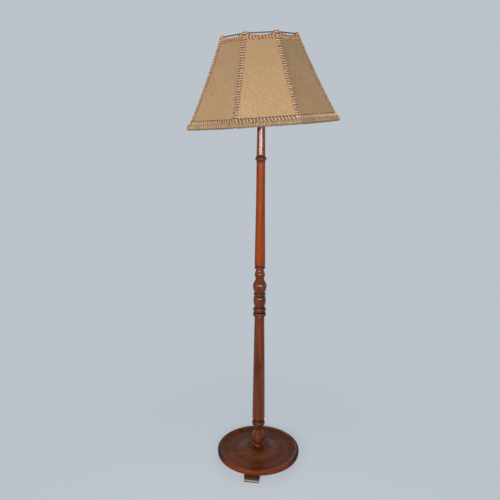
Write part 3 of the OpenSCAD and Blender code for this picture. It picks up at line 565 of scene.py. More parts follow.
def linen_finish(name, colour):
    """Aged linen with uneven threads, flecks and faint stains, darker towards its top."""
    finish = Finish(name, Sheen_Weight=0.1, Sheen_Roughness=0.5, IOR=1.22)
    flat, height, slub, gap = woven(finish, LINEN_PITCH)
    place = finish.place()
    dark = tinted(colour, 0.62)
    light = tinted(colour, 1.16)
    shade = finish.mix(slub.ramp(0.30, 0.70), dark, light)
    shade = finish.mix(0.50, shade, colour)
    grain = finish.noise(flat, (105, 80, 1), 3, 0.75).ramp(0.38, 0.62)
    shade = finish.mix(grain * 0.5, shade, dark)
    flecks = finish.noise(flat, (420, 160, 1), 2, 0.6).ramp(0.52, 0.70)
    shade = finish.mix(flecks * 0.45, shade, light)
    shade = finish.mix(gap * 0.75, shade, tinted(colour, 0.38))
    stains = finish.noise(place, 8, 4, 0.62, 0.6).ramp(0.5, 0.78)
    shade = finish.mix(stains * 0.35, shade, srgb(170, 132, 84))
    aged = finish.noise(place, 3.5, 3).ramp(0.45, 0.7)
    shade = finish.mix(aged * 0.25, shade, srgb(176, 142, 92))
    # darker towards the top
    darker_up = finish.part(flat, 1).ramp(60 * MM, 260 * MM)
    shade = finish.mix(darker_up * 0.44, shade, tinted(colour, 0.66))
    normal = finish.bump(height * 0.7 + slub * 0.5, 0.4 * MM, 0.7)
    return finish.drive(Base_Color=shade, Roughness=0.82 + slub * 0.1, Normal=normal)


def lining_finish(name, colour):
    """Smooth cotton lining, browned towards its top by the bulb's heat."""
    finish = Finish(name, Sheen_Weight=0.15, IOR=1.4)
    flat, height, slub, gap = woven(finish, LINING_PITCH)
    blotches = finish.noise(finish.place(), 6, 3).ramp(0.3, 0.7)
    scorch = finish.part(flat, 1).ramp(100 * MM, 300 * MM) * blotches
    shade = finish.mix(slub.ramp(0.3, 0.7) * 0.5, colour, tinted(colour, 0.82))
    shade = finish.mix(gap * 0.4, shade, tinted(colour, 0.55))
    shade = finish.mix(scorch * 0.4, shade, srgb(186, 158, 112))
    normal = finish.bump(height, 0.1 * MM, 0.5)
    return finish.drive(Base_Color=shade, Roughness=0.8 + slub * 0.1, Normal=normal)


def yarn_finish(name, colour, shadow, shade_line=None):
    """Twisted yarn with fine fibres and tufts, with painted shade low in the trimming and below a
    line across it.
    The attribute lay holds each point's place in the flat trimming."""
    finish = Finish(name, Sheen_Weight=0.35, Sheen_Roughness=0.45, IOR=1.4)
    lay = finish.attribute("lay", "Vector")
    fibres = finish.noise(lay, (2600, 2600, 2600))
    tufts = finish.noise(finish.place(), 260, 3, 0.6).ramp(0.35, 0.7)
    # painted shade deep in the trimming, near the cloth
    low = 1 - finish.part(lay, 2).ramp(0.1 * MM, 1.7 * MM)
    shade = finish.mix(tufts * 0.5, colour, tinted(colour, 0.70))
    shade = finish.mix(fibres.ramp(0.35, 0.7) * 0.35, shade, tinted(colour, 1.22))
    shade = finish.mix(low * 0.85, shade, shadow)
    dull = finish.noise(lay, (60, 170, 60), 1).ramp(0.45, 0.65)
    shade = finish.mix(dull * 0.55, shade, tinted(colour, 0.58))
    # painted shade below a line across the fringe, where its loops curl under
    if shade_line is not None:
        below = 1 - finish.part(lay, 0).ramp(shade_line, shade_line + 4 * MM)
        shade = finish.mix(below * 0.75, shade, shadow)
    normal = finish.bump(fibres, 0.25 * MM, 0.6)
    return finish.drive(Base_Color=shade, Roughness=0.78 + fibres * 0.15, Normal=normal)


# --- Mesh helpers ---

WELD = 5e-6
FLAT_ANGLE = math.radians(0.6)
SHARP_ANGLE = math.radians(34)


def mesh_of(bm, name):
    """The shape as a new mesh."""
    mesh = bpy.data.meshes.new(name)
    bm.to_mesh(mesh)
    bm.free()
    return mesh


def add_piece(name, bm, node, materials):
    """Adds a smooth-shaded piece that stands for a CAD node, on the node's body, and hides the
    node.
    """
    for face in bm.faces:
        face.smooth = True
    mesh = mesh_of(bm, name)
    mesh.set_sharp_from_angle(angle=SHARP_ANGLE)
    piece = bpy.data.objects.new(name, mesh)
    bpy.context.scene.collection.objects.link(piece)
    for material in materials:
        mesh.materials.append(material)
    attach(piece, BODY_OF[node])
    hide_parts(node)
    return piece


def welded(node):
    """A merged copy of a CAD node's mesh."""
    bm = bmesh.new()
    bm.from_mesh(NODES[node].data)
    bmesh.ops.remove_doubles(bm, verts=bm.verts, dist=WELD)
    return bm


def refined(node, suffix, material, edge=0, segments=2):
    """A smooth copy of a CAD node, with its hard edges rounded."""
    bm = welded(node)
    bmesh.ops.dissolve_limit(bm, angle_limit=FLAT_ANGLE, verts=bm.verts, edges=bm.edges)
    if edge:
        hard = [e for e in bm.edges if len(e.link_faces) == 2 and e.calc_face_angle() > SHARP_ANGLE]
        bmesh.ops.bevel(
            bm, geom=hard, offset=edge, offset_type="OFFSET", segments=segments, profile=0.5,
            affect="EDGES", material=-1, clamp_overlap=True,
        )
    bmesh.ops.triangulate(bm, faces=[f for f in bm.faces if len(f.verts) > 4])
    add_piece(f"{node}_{suffix}", bm, node, [material])


SECTION_AZIMUTH = math.radians(3.2)
SECTION_SLACK = 1e-8


def half_section(node):
    """The outline of a turned node in the XZ plane, cut from its own mesh beside the axis."""
    bm = welded(node)
    along = Vector((math.cos(SECTION_AZIMUTH), math.sin(SECTION_AZIMUTH), 0))
    cut = bmesh.ops.bisect_plane(
        bm, geom=[*bm.verts, *bm.edges, *bm.faces], dist=SECTION_SLACK, plane_co=(0, 0, 0),
        plane_no=(-along.y, along.x, 0),
    )
    edges = [item for item in cut["geom_cut"] if isinstance(item, bmesh.types.BMEdge)]
    outline = {e for e in edges if (e.verts[0].co + e.verts[1].co).dot(along) > 0}
    bmesh.ops.delete(bm, geom=[e for e in bm.edges if e not in outline], context="EDGES_FACES")
    bmesh.ops.delete(bm, geom=[v for v in bm.verts if not v.link_edges], context="VERTS")
    bmesh.ops.rotate(
        bm, verts=bm.verts, cent=(0, 0, 0), matrix=Matrix.Rotation(-SECTION_AZIMUTH, 3, "Z")
    )
    bmesh.ops.remove_doubles(bm, verts=bm.verts, dist=WELD)
    straight = [v for v in bm.verts if len(v.link_edges) == 2 and bend_at(v) < FLAT_ANGLE / 2]
    bmesh.ops.dissolve_verts(bm, verts=straight)
    return bm


def bend_at(vertex):
    """Angle between the two edges that meet at a vertex of an outline."""
    before, after = (edge.other_vert(vertex).co for edge in vertex.link_edges)
    return (vertex.co - before).angle(after - vertex.co, 0)


def loop_of(bm):
    """The vertices of a closed outline, in order."""
    first = next(iter(bm.verts))
    loop, edge = [first], first.link_edges[0]
    while (step := edge.other_vert(loop[-1])) is not first:
        loop.append(step)
        edge = next(e for e in step.link_edges if e is not edge)
    return loop


RELIEF_REACH = 4.5 * MM
FULL_RELIEF = 1.1 * MM
LEAST_MOVE = 1e-6


def point_along(points, start, step, reach):
    """The point that lies a distance along a closed outline, forwards or back from a corner."""
    at, corner = points[start], start
    while reach > 0:
        target = points[(corner + step) % len(points)]
        gap = (target - at).length
        move = min(gap, reach)
        at = at + (target - at) * (move / gap if gap else 0)
        reach -= max(move, LEAST_MOVE)
        corner += step if move == gap else 0
    return at


def mark_relief(bm):
    """Stores on an outline how far each point stands proud of its surroundings, from -1 to 1."""
    layer = bm.verts.layers.float.new("relief")
    loop = loop_of(bm)
    points = [v.co.copy() for v in loop]
    following = points[1:] + points[:1]
    area = sum(a.x * b.z - b.x * a.z for a, b in zip(points, following))
    turn = 1 if area > 0 else -1
    for i, vertex in enumerate(loop):
        before, after = (point_along(points, i, step, RELIEF_REACH) for step in (-1, 1))
        ahead = after - before
        outward = Vector((ahead.z, 0, -ahead.x)) * turn
        proud = (points[i] - (before + after) / 2).dot(outward.normalized())
        vertex[layer] = max(-1.0, min(1.0, proud / FULL_RELIEF))


def turned(node, suffix, material, steps, relief=False):
    """A lathe-turned piece, spun from a CAD node's own outline."""
    bm = half_section(node)
    if relief:
        mark_relief(bm)
    bmesh.ops.spin(
        bm, geom=[*bm.verts, *bm.edges], cent=(0, 0, 0), axis=(0, 0, 1), dvec=(0, 0, 0),
        angle=math.tau, steps=steps, use_merge=True, use_normal_flip=False, use_duplicate=False,
    )
    bmesh.ops.remove_doubles(bm, verts=bm.verts, dist=WELD)
    bmesh.ops.recalc_face_normals(bm, faces=bm.faces)
    add_piece(f"{node}_{suffix}", bm, node, [material])


def cords_mesh(paths, radius):
    """One mesh of round six-sided tubes along lists of points."""
    curve = bpy.data.curves.new("cords", "CURVE")
    curve.dimensions = "3D"
    curve.bevel_depth = radius
    curve.bevel_resolution = 1
    curve.use_fill_caps = True
    for path in paths:
        spline = curve.splines.new("POLY")
        spline.points.add(len(path) - 1)
        spline.points.foreach_set("co", [value for point in path for value in (*point, 1)])
    holder = bpy.data.objects.new("cords", curve)
    mesh = bpy.data.meshes.new_from_object(holder)
    bpy.data.objects.remove(holder)
    bpy.data.curves.remove(curve)
    return mesh


# --- The shade's own frame, read from its struts ---

CLOTH_DROOP = 10 * MM
CLOTH_LAP = 0.4 * MM
BRAID_WIDTH = 17 * MM
TOP_BRAID_WIDTH = 16 * MM
LOW_BRAID_FROM = 5 * MM
LOW_BRAID_WIDTH = 13 * MM
# how much deeper the braids along the wires are sewn than those on the struts
SEWN_IN = 0.1 * MM
HALF_ANGLE = math.pi / SIDES


class ShadeForm:
    """Corners, faces and struts of the eight-sided frame, measured on the CAD nodes.
    Its struts, and all that lies on them, bow inwards by the same share of their height."""

    # the slice of a strut that counts as its end, and the wire's centre beyond that end
    END_DEPTH = 0.3 * MM
    STRUT_INSET = 2.2 * MM
    STRUT_BOW = 4 * MM
    # from the wires' centre lines out to the inner side of the cloth and of the braid
    CLOTH_IN = 2.1 * MM
    BRAID_IN = 3.4 * MM
    # rounding of the braid's fold over a strut, and of the band at the corners
    FOLD_SOFT = 1.6 * MM
    CORNER_SOFT = 3 * MM
    # the band's swelling over the ends of the strut braids
    CORNER_SWELL = 3.2 * MM
    CORNER_REACH = 10 * MM
    # how much lower the band is sewn, and its slant over the shade's half width
    BAND_LOWER = 3.2 * MM
    BAND_ASKEW = 3.8 * MM
    # the shade's half width at the bottom, in half sides
    HALF_SIDES_ACROSS = 2.6

    def __init__(self):
        self.measure_corners()
        self.measure_faces()

    def measure_corners(self):
        """Finds the corners of both wires, where the struts' centre lines would be unbowed."""
        self.low, self.top = [], []
        for k in range(1, SIDES + 1):
            low, top = self.strut_ends(f"strut_{k}")
            along = (top - low).normalized() * self.STRUT_INSET
            self.low.append(low - along)
            self.top.append(top + along)
        self.low_centre = sum(self.low, Vector()) / SIDES
        self.top_centre = sum(self.top, Vector()) / SIDES
        self.axis = (self.top_centre - self.low_centre).normalized()
        self.strut_length = (self.top[0] - self.low[0]).length
        self.strut_rise = (self.top[0] - self.low[0]).normalized().dot(self.axis)
        self.inward = [(self.low_centre - corner).normalized() for corner in self.low]
        for k in range(SIDES):
            slack = self.inward[k] * self.bow(self.STRUT_INSET / self.strut_length)
            self.low[k] -= slack
            self.top[k] -= slack
        self.side = (self.low[1] - self.low[0]).length
        self.half_low = self.side / 2
        self.half_top = (self.top[1] - self.top[0]).length / 2

    def measure_faces(self):
        """Gives each face its origin on the bottom wire and its own three directions."""
        self.across, self.slope, self.normal, self.origin, self.face_in = [], [], [], [], []
        for k in range(SIDES):
            following = (k + 1) % SIDES
            origin = (self.low[k] + self.low[following]) / 2
            across = (self.low[following] - self.low[k]).normalized()
            slope = ((self.top[k] + self.top[following]) / 2 - origin).normalized()
            self.origin.append(origin)
            self.across.append(across)
            self.slope.append(slope)
            self.normal.append(across.cross(slope).normalized())
            self.face_in.append((self.low_centre - origin).normalized())
        self.panel_length = ((self.top[0] + self.top[1]) / 2 - self.origin[0]).length
        self.ridge = self.normal[0].angle(self.normal[-1]) / 2

    def strut_ends(self, node):
        """Centres of a strut's two end faces."""
        points = [v.co for v in NODES[node].data.vertices]
        axis = (max(points, key=lambda p: p.z) - min(points, key=lambda p: p.z)).normalized()
        reach = [p.dot(axis) for p in points]
        first, last = min(reach) + self.END_DEPTH, max(reach) - self.END_DEPTH
        ends = []
        for keep in (lambda r: r < first, lambda r: r > last):
            end = {tuple(round(c, 6) for c in p) for p, r in zip(points, reach) if keep(r)}
            ends.append(sum((Vector(p) for p in end), Vector()) / len(end))
        return ends

    def bow(self, share):
        """Level inward bow of a strut at a share of its height."""
        return 4 * self.STRUT_BOW / self.strut_rise * share * (1 - share)

    def half_width(self, up):
        """Half a panel's width at a distance up its slope."""
        share = up / self.panel_length
        taper = (self.half_top - self.half_low) * share
        return self.half_low + taper - self.bow(share) * math.sin(HALF_ANGLE)

    def droop(self, x):
        """How far the cloth's top edge lies below the top wire."""
        return CLOTH_DROOP * (1 - min(1.0, abs(x / self.half_top)) ** 2)

    def on_panel(self, k, x, up, out):
        """A point of a face, given across it, up its slope and out from it."""
        bowed = self.face_in[k] * (self.bow(up / self.panel_length) * math.cos(HALF_ANGLE))
        level = self.origin[k] + bowed
        return level + self.across[k] * x + self.slope[k] * up + self.normal[k] * out

    def on_strut(self, k, u, along, out):
        """A point on the fold over a strut. Past the top wire the fold turns over and inside."""
        outward = (self.normal[k] + self.normal[k - 1]).normalized()
        upward = (self.top[k] - self.low[k]).normalized()
        across = upward.cross(outward)
        share = max(-1.0, min(1.0, u / (2 * self.FOLD_SOFT)))
        lean = math.sin(self.ridge) * share
        normal = (outward * math.cos(self.ridge) + across * lean).normalized()
        base = across * (u * math.cos(self.ridge))
        base -= outward * ((math.hypot(u, self.FOLD_SOFT) - self.FOLD_SOFT) * math.sin(self.ridge))
        rise = self.BRAID_IN / math.cos(self.ridge)
        if along <= self.strut_length:
            bowed = self.inward[k] * self.bow(along / self.strut_length)
            return self.low[k] + bowed + upward * along + base + outward * rise + normal * out
        turn = (along - self.strut_length) / rise
        spoke = outward * math.cos(turn) + upward * math.sin(turn)
        return self.top[k] + base + spoke * (rise + out)

    def on_rim(self, s, up, out):
        """A point on the band round the bottom wire, s along it from the first corner.
        The band is rounded at the corners, swells over the ends of the strut braids,
        and is sewn on a little askew, lower towards -X."""
        s %= self.side * SIDES
        k = min(SIDES - 1, int(s / self.side))
        x = 2 * (s - k * self.side) / self.side - 1
        across = (self.origin[k] + self.across[k] * (x * self.half_low) - self.low_centre).x
        slant = across / self.half_low / self.HALF_SIDES_ACROSS
        up -= self.BAND_LOWER - self.BAND_ASKEW * slant
        near = (1 - abs(x)) * self.half_low
        out += self.CORNER_SWELL * math.exp(-((near / self.CORNER_REACH) ** 2))
        reach = self.half_width(up) + out * math.tan(self.ridge)
        corner = k if x < 0 else (k + 1) % SIDES
        pull = (math.hypot(near, self.CORNER_SOFT) - near) * math.sin(self.ridge)
        return self.on_panel(k, x * reach, up, out) + self.inward[corner] * pull

    def on_top_wire(self, k, out, along, up):
        """A point beside the top wire, along it from a corner."""
        across = self.across[k] if along > 0 else self.across[k - 1]
        return self.top[k] + across * along - self.inward[k] * out + self.axis * up


SHADE = ShadeForm()


# --- The trimming, made flat and then laid on the shade ---
# x is across the trimming, y along it and z out of the cloth.

GIMP_STEP = 0.55 * MM
GIMP_BED = 1.15 * MM
PLY_RADIUS = 0.65 * MM
PLY_OFFSET = 0.86 * PLY_RADIUS
SCALLOP = 0.4 * MM
CORE_WIDE, CORE_HIGH = 0.9 * MM, 0.7 * MM
CORE_BED = GIMP_BED + 0.5 * MM
CORE_PLY_RADIUS = 0.9 * MM
RUNG_RADIUS = 1.75 * MM
RUNG_FROM = 0.8 * MM
RUNG_SWELL = 0.6 * MM
RUNG_PLACE = 0.12
RUNG_STRAY = 0.13
TAPE_BED = 0.25 * MM
TAPE_THICKNESS = 0.45 * MM
TAPE_STEP = 2 * MM


def ply_paths(centre, count, step, twist, phase):
    """Two plies that twist round a cord's centre line, a function of the distance along."""
    paths = [[], []]
    for i in range(count + 1):
        y = i * step
        point = centre(y)
        ahead = (centre(y + step) - point).normalized()
        side = ahead.cross(Vector((0, 0, 1))).normalized()
        rise = side.cross(ahead)
        for ply, path in enumerate(paths):
            angle = math.tau * y / twist + phase + math.pi * ply
            sideways = side * (PLY_OFFSET * math.cos(angle))
            path.append(point + sideways + rise * (PLY_OFFSET * math.sin(angle)))
    return paths


def core_paths(length, pitch, step):
    """Two plies that wind round the flat core down the middle of the gimp."""
    turns = max(1, round(length / pitch))
    count = round(length / step)
    paths = [[], []]
    for i in range(count + 1):
        for ply, path in enumerate(paths):
            angle = math.tau * (turns * i / count + ply / len(paths))
            x, z = CORE_WIDE * math.cos(angle), CORE_BED + CORE_HIGH * math.sin(angle)
            path.append(Vector((x, length * i / count, z)))
    return paths


def rung_path(side, edge, start, eye):
    """A rung that slants from the middle to the edge cord on one side, in a low arch."""
    return [
        Vector((
            side * (RUNG_FROM + (edge - RUNG_FROM) * t),
            start + 0.5 * eye * t,
            GIMP_BED + RUNG_SWELL * math.sin(math.pi * t),
        ))
        for t in (0, 0.25, 0.5, 0.75, 1)
    ]


def gimp_meshes(length, width, eye, twist):
    """A flat length of gimp: scalloped cords along both edges, a rope down the middle and
    slanting rungs between them, a little unevenly spaced."""
    eyes = max(2, round(length / eye))
    eye = length / eyes
    edge = width / 2 - 2 * PLY_RADIUS
    count = max(8, round(length / GIMP_STEP))
    step = length / count

    def scalloped(side):
        def centre(y):
            reach = edge + SCALLOP * math.cos(math.tau * y / eye)
            return Vector((side * reach, y, GIMP_BED))
        return centre

    cords = [
        path for side in (1, -1)
        for path in ply_paths(scalloped(side), count, step, twist, phase=side)
    ]
    draw = random.Random(3)
    rungs = [
        rung_path(side, edge, (i + RUNG_PLACE + draw.uniform(-RUNG_STRAY, RUNG_STRAY)) * eye, eye)
        for i in range(eyes) for side in (1, -1)
    ]
    return [
        cords_mesh(cords, PLY_RADIUS),
        cords_mesh(core_paths(length, 2 * eye, step * 1.5), CORE_PLY_RADIUS),
        cords_mesh(rungs, RUNG_RADIUS),
    ]


def tape_mesh(length, width, step=TAPE_STEP):
    """The dark tape under a trimming."""
    bm = bmesh.new()
    bmesh.ops.create_grid(bm, x_segments=6, y_segments=max(4, round(length / step)), size=0.5)
    bmesh.ops.scale(bm, vec=(width, length, 1), verts=bm.verts)
    bmesh.ops.translate(bm, vec=(0, length / 2, TAPE_BED), verts=bm.verts)
    bmesh.ops.solidify(bm, geom=bm.faces[:], thickness=TAPE_THICKNESS)
    return mesh_of(bm, "tape")


def laid(name, layers, place, node, materials):
    """A piece of flat layers, one material each, laid on the shade with place(x, y, z).
    The flat place stays on the mesh as the attribute lay."""
    bm = bmesh.new()
    bm.verts.layers.float_vector.new("lay")
    for index, mesh in enumerate(layers):
        faces_before = len(bm.faces)
        bm.from_mesh(mesh)
        bm.faces.ensure_lookup_table()
        for face in bm.faces[faces_before:]:
            face.material_index = index
        bpy.data.meshes.remove(mesh)
    lay = bm.verts.layers.float_vector["lay"]
    for vertex in bm.verts:
        vertex[lay] = vertex.co
        vertex.co = place(*vertex.co)
    add_piece(name, bm, node, materials)


# --- Operators: one for each piece or group of like pieces ---

BROWN_BRASS = srgb(120, 86, 48)


class LAMP_OT_base(bpy.types.Operator):
    """Turn the round base and finish its three feet"""

    bl_idname = "lamp.base"
    bl_label = "Base and Feet"

    def execute(self, context):
        wood = context.scene.lamp_wood
        turned("base_disc", "turned", base_polish(wood), wood.steps * 2, relief=True)
        polish = foot_polish(wood)
        for k in range(1, FEET + 1):
            refined(f"foot_{k}", "shaped", polish, wood.foot_bevel, segments=3)
        return {"FINISHED"}


class LAMP_OT_column(bpy.types.Operator):
    """Turn the three lengths of the column"""

    bl_idname = "lamp.column"
    bl_label = "Column"

    def execute(self, context):
        wood = context.scene.lamp_wood
        polish = column_polish(wood)
        for node in ("column_lower", "column_middle", "column_upper"):
            turned(node, "turned", polish, wood.steps, relief=True)
        return {"FINISHED"}


class LAMP_OT_fittings(bpy.types.Operator):
    """Finish the tube, nut, washer and screws under the base"""

    bl_idname = "lamp.fittings"
    bl_label = "Base Fittings"

    def execute(self, context):
        metal = context.scene.lamp_metal
        steel = metal_finish("zinc_steel", metal.steel, srgb(92, 76, 62), 0.38)
        brass = metal_finish("tube_brass", metal.brass, BROWN_BRASS, 0.30)
        refined("foot_screws", "steel", steel)
        refined("base_washer", "steel", steel, metal.edge)
        refined("base_nut", "brass", brass)
        turned("base_tube", "brass", brass, steps=48)
        return {"FINISHED"}


class LAMP_OT_holder(bpy.types.Operator):
    """Finish the bayonet lampholder, its push bar and the two shade rings"""

    bl_idname = "lamp.holder"
    bl_label = "Lampholder"

    def execute(self, context):
        metal = context.scene.lamp_metal
        brass = metal_finish("holder_brass", metal.brass, BROWN_BRASS, 0.26, spots=0.4)
        resin = resin_finish("holder_resin", metal.resin)
        for node in ("holder_tube", "holder_cap", "contact_plungers", "terminal_screws",
                     "holder_skirt", "shade_ring_lower", "shade_ring_upper"):
            refined(node, "brass", brass)
        for node in ("holder_core", "push_bar"):
            refined(node, "resin", resin)
        return {"FINISHED"}


class LAMP_OT_bulb(bpy.types.Operator):
    """Finish the pearl bulb and its bayonet cap"""

    bl_idname = "lamp.bulb"
    bl_label = "Bulb"

    def execute(self, context):
        metal = context.scene.lamp_metal
        glass = glass_finish("bulb_pearl", metal.glass)
        brass = metal_finish("bulb_brass", metal.brass, srgb(150, 112, 62), 0.22, spots=0.3)
        solder = metal_finish("bulb_solder", srgb(150, 150, 148), srgb(110, 108, 104), 0.35)
        turned("bulb_glass", "pearl", glass, steps=96)
        turned("bulb_cap", "brass", brass, steps=72)
        refined("bulb_pins", "brass", brass)
        refined("bulb_contacts", "solder", solder)
        return {"FINISHED"}


class LAMP_OT_frame(bpy.types.Operator):
    """Finish the gimbal and the shade's wire frame"""

    bl_idname = "lamp.frame"
    bl_label = "Gimbal and Frame"

    def execute(self, context):
        metal = context.scene.lamp_metal
        steel = metal_finish("frame_steel", metal.steel, srgb(88, 66, 50), 0.34, spots=0.7)
        brass = metal_finish("pin_brass", metal.brass, BROWN_BRASS, 0.28)
        lacquered = metal_finish(
            "frame_wire", metal.wire, srgb(84, 82, 92), 0.40, spots=0.5, metallic=0.7
        )
        for node in ("gimbal_ring", "gimbal_arm_1", "gimbal_arm_2"):
            refined(node, "steel", steel, metal.edge)
        refined("gimbal_pins", "brass", brass)
        for node in ("top_wire", "bottom_wire", *(f"strut_{k}" for k in range(1, SIDES + 1))):
            refined(node, "steel", lacquered)
        return {"FINISHED"}


class LAMP_OT_panels(bpy.types.Operator):
    """Stretch the eight linen panels between the struts"""

    bl_idname = "lamp.panels"
    bl_label = "Linen Panels"

    COLUMNS = 36
    ROWS = 52
    PUCKER = 0.5 * MM
    PUCKER_SCALE = (22, 7)
    TUG = 0.3 * MM
    TUG_TURNS = 28

    def execute(self, context):
        cloth = context.scene.lamp_shade
        linen = linen_finish("panel_linen", cloth.linen)
        lining = lining_finish("panel_lining", cloth.lining)
        for k in range(SIDES):
            self.panel(k, cloth, [linen, lining])
        return {"FINISHED"}

    def panel(self, k, cloth, materials):
        """One panel, laid with its flat place in metres as its UV map."""
        bm = bmesh.new()
        bmesh.ops.create_grid(
            bm, x_segments=self.COLUMNS, y_segments=self.ROWS, size=1, calc_uvs=True
        )
        flat = {}
        for vertex in bm.verts:
            share, t = vertex.co.x, (vertex.co.y + 1) / 2
            up = t * (SHADE.panel_length - SHADE.droop(share * SHADE.half_top))
            x = share * (SHADE.half_width(up) + CLOTH_LAP)
            flat[vertex] = (x, up)
            out = SHADE.CLOTH_IN + cloth.cloth / 2 + self.slack(k, share, t, x, up, cloth.sag)
            vertex.co = SHADE.on_panel(k, x, up, out)
        uv = bm.loops.layers.uv.verify()
        for face in bm.faces:
            for loop in face.loops:
                loop[uv].uv = flat[loop.vert]
        name = f"panel_{k + 1}"
        piece = add_piece(f"{name}_linen", bm, name, materials)
        wall = piece.modifiers.new("cloth and lining", "SOLIDIFY")
        wall.thickness = cloth.cloth
        wall.offset = 0
        wall.material_offset = 1
        wall.material_offset_rim = 0

    def slack(self, k, share, t, x, up, sag):
        """How far the cloth stands out: it sags in its middle, puckers, and is tugged at its
        top by the stitches."""
        across, along = self.PUCKER_SCALE
        pull = (1 - share * share) * math.sin(math.pi * t) ** 0.8
        pucker = noise.noise(Vector((x * across + 5 * k, up * along, k * 3.1))) * self.PUCKER
        wave = math.sin(self.TUG_TURNS * abs(share) + 3 * k)
        tug = wave * self.TUG * t ** 6 * (1 - abs(share))
        return pucker * pull + tug - sag * pull


class LAMP_OT_strut_braids(bpy.types.Operator):
    """Lay gimp braid over the eight struts, with its end turned over the top wire"""

    bl_idname = "lamp.strut_braids"
    bl_label = "Strut Braids"

    UNDER_BAND = 1 * MM
    TURNED_IN = 10 * MM
    TAPE_INSET = 1.5 * MM

    def execute(self, context):
        cloth = context.scene.lamp_shade
        pale = yarn_finish("braid_yarn", cloth.braid, cloth.stitch)
        plain = yarn_finish("braid_cord", tinted(cloth.braid, 0.45), cloth.stitch)
        dark = yarn_finish("braid_tape", cloth.stitch, tinted(cloth.stitch, 0.7))
        band_top = LOW_BRAID_FROM + LOW_BRAID_WIDTH - SHADE.BAND_LOWER - SHADE.BAND_ASKEW
        start = band_top - self.UNDER_BAND
        length = SHADE.strut_length + self.TURNED_IN - start
        for k in range(SIDES):
            node = f"strut_braid_{k + 1}"
            layers = [
                *gimp_meshes(length, BRAID_WIDTH, cloth.eye, cloth.twist),
                tape_mesh(length, BRAID_WIDTH - self.TAPE_INSET),
            ]
            laid(
                f"{node}_gimp", layers, lambda x, y, z, k=k: SHADE.on_strut(k, x, start + y, z),
                node, [plain, plain, pale, dark],
            )
        return {"FINISHED"}


class LAMP_OT_top_braid(bpy.types.Operator):
    """Lay braid along the drooping top edge of each panel, and wind yarn on the corners"""

    bl_idname = "lamp.top_braid"
    bl_label = "Top Braid"

    EYE_SHARE = 1.2
    END_GAP = 5 * MM
    TAPE_INSET = 1 * MM
    YARN = 1 * MM
    WIRE = 2.1 * MM
    WOUND = 12 * MM
    WINDING_PITCH = 2.3 * MM
    WINDING_STEP = 0.3 * MM

    def execute(self, context):
        cloth = context.scene.lamp_shade
        pale = yarn_finish("top_yarn", cloth.top_yarn, cloth.stitch)
        plain = yarn_finish("top_cord", tinted(cloth.top_yarn, 0.5), cloth.stitch)
        dark = yarn_finish("top_tape", tinted(cloth.top_yarn, 0.34), cloth.stitch)
        reach = SHADE.half_top - self.END_GAP
        eye = cloth.eye * self.EYE_SHARE
        for k in range(SIDES):
            layers = [
                *gimp_meshes(2 * reach, TOP_BRAID_WIDTH, eye, cloth.twist),
                tape_mesh(2 * reach, TOP_BRAID_WIDTH - self.TAPE_INSET),
            ]
            laid(
                f"top_braid_{k + 1}_gimp", layers,
                lambda x, y, z, k=k: self.place(k, x, y - reach, z),
                "top_braid", [plain, plain, pale, dark],
            )
            laid(
                f"top_winding_{k + 1}_yarn", [cords_mesh([self.winding()], self.YARN)],
                lambda x, y, z, k=k: SHADE.on_top_wire(k, x, y, z), "top_braid", [pale],
            )
        return {"FINISHED"}

    def winding(self):
        """Yarn wound round the top wire on both sides of a corner."""
        radius = self.WIRE + self.YARN
        count = round(2 * self.WOUND / self.WINDING_STEP)
        path = []
        for i in range(count + 1):
            y = self.WOUND * (2 * i / count - 1)
            angle = math.tau * y / self.WINDING_PITCH
            path.append(Vector((radius * math.cos(angle), y, radius * math.sin(angle))))
        return path

    @staticmethod
    def place(k, across, x, out):
        """A point of the top braid. Its upper edge follows the cloth, and its lower edge is
        straight."""
        share = across / TOP_BRAID_WIDTH + 0.5
        high = SHADE.panel_length - SHADE.droop(x)
        low = SHADE.panel_length - CLOTH_DROOP - TOP_BRAID_WIDTH
        return SHADE.on_panel(k, x, high + (low - high) * share, SHADE.BRAID_IN - SEWN_IN + out)


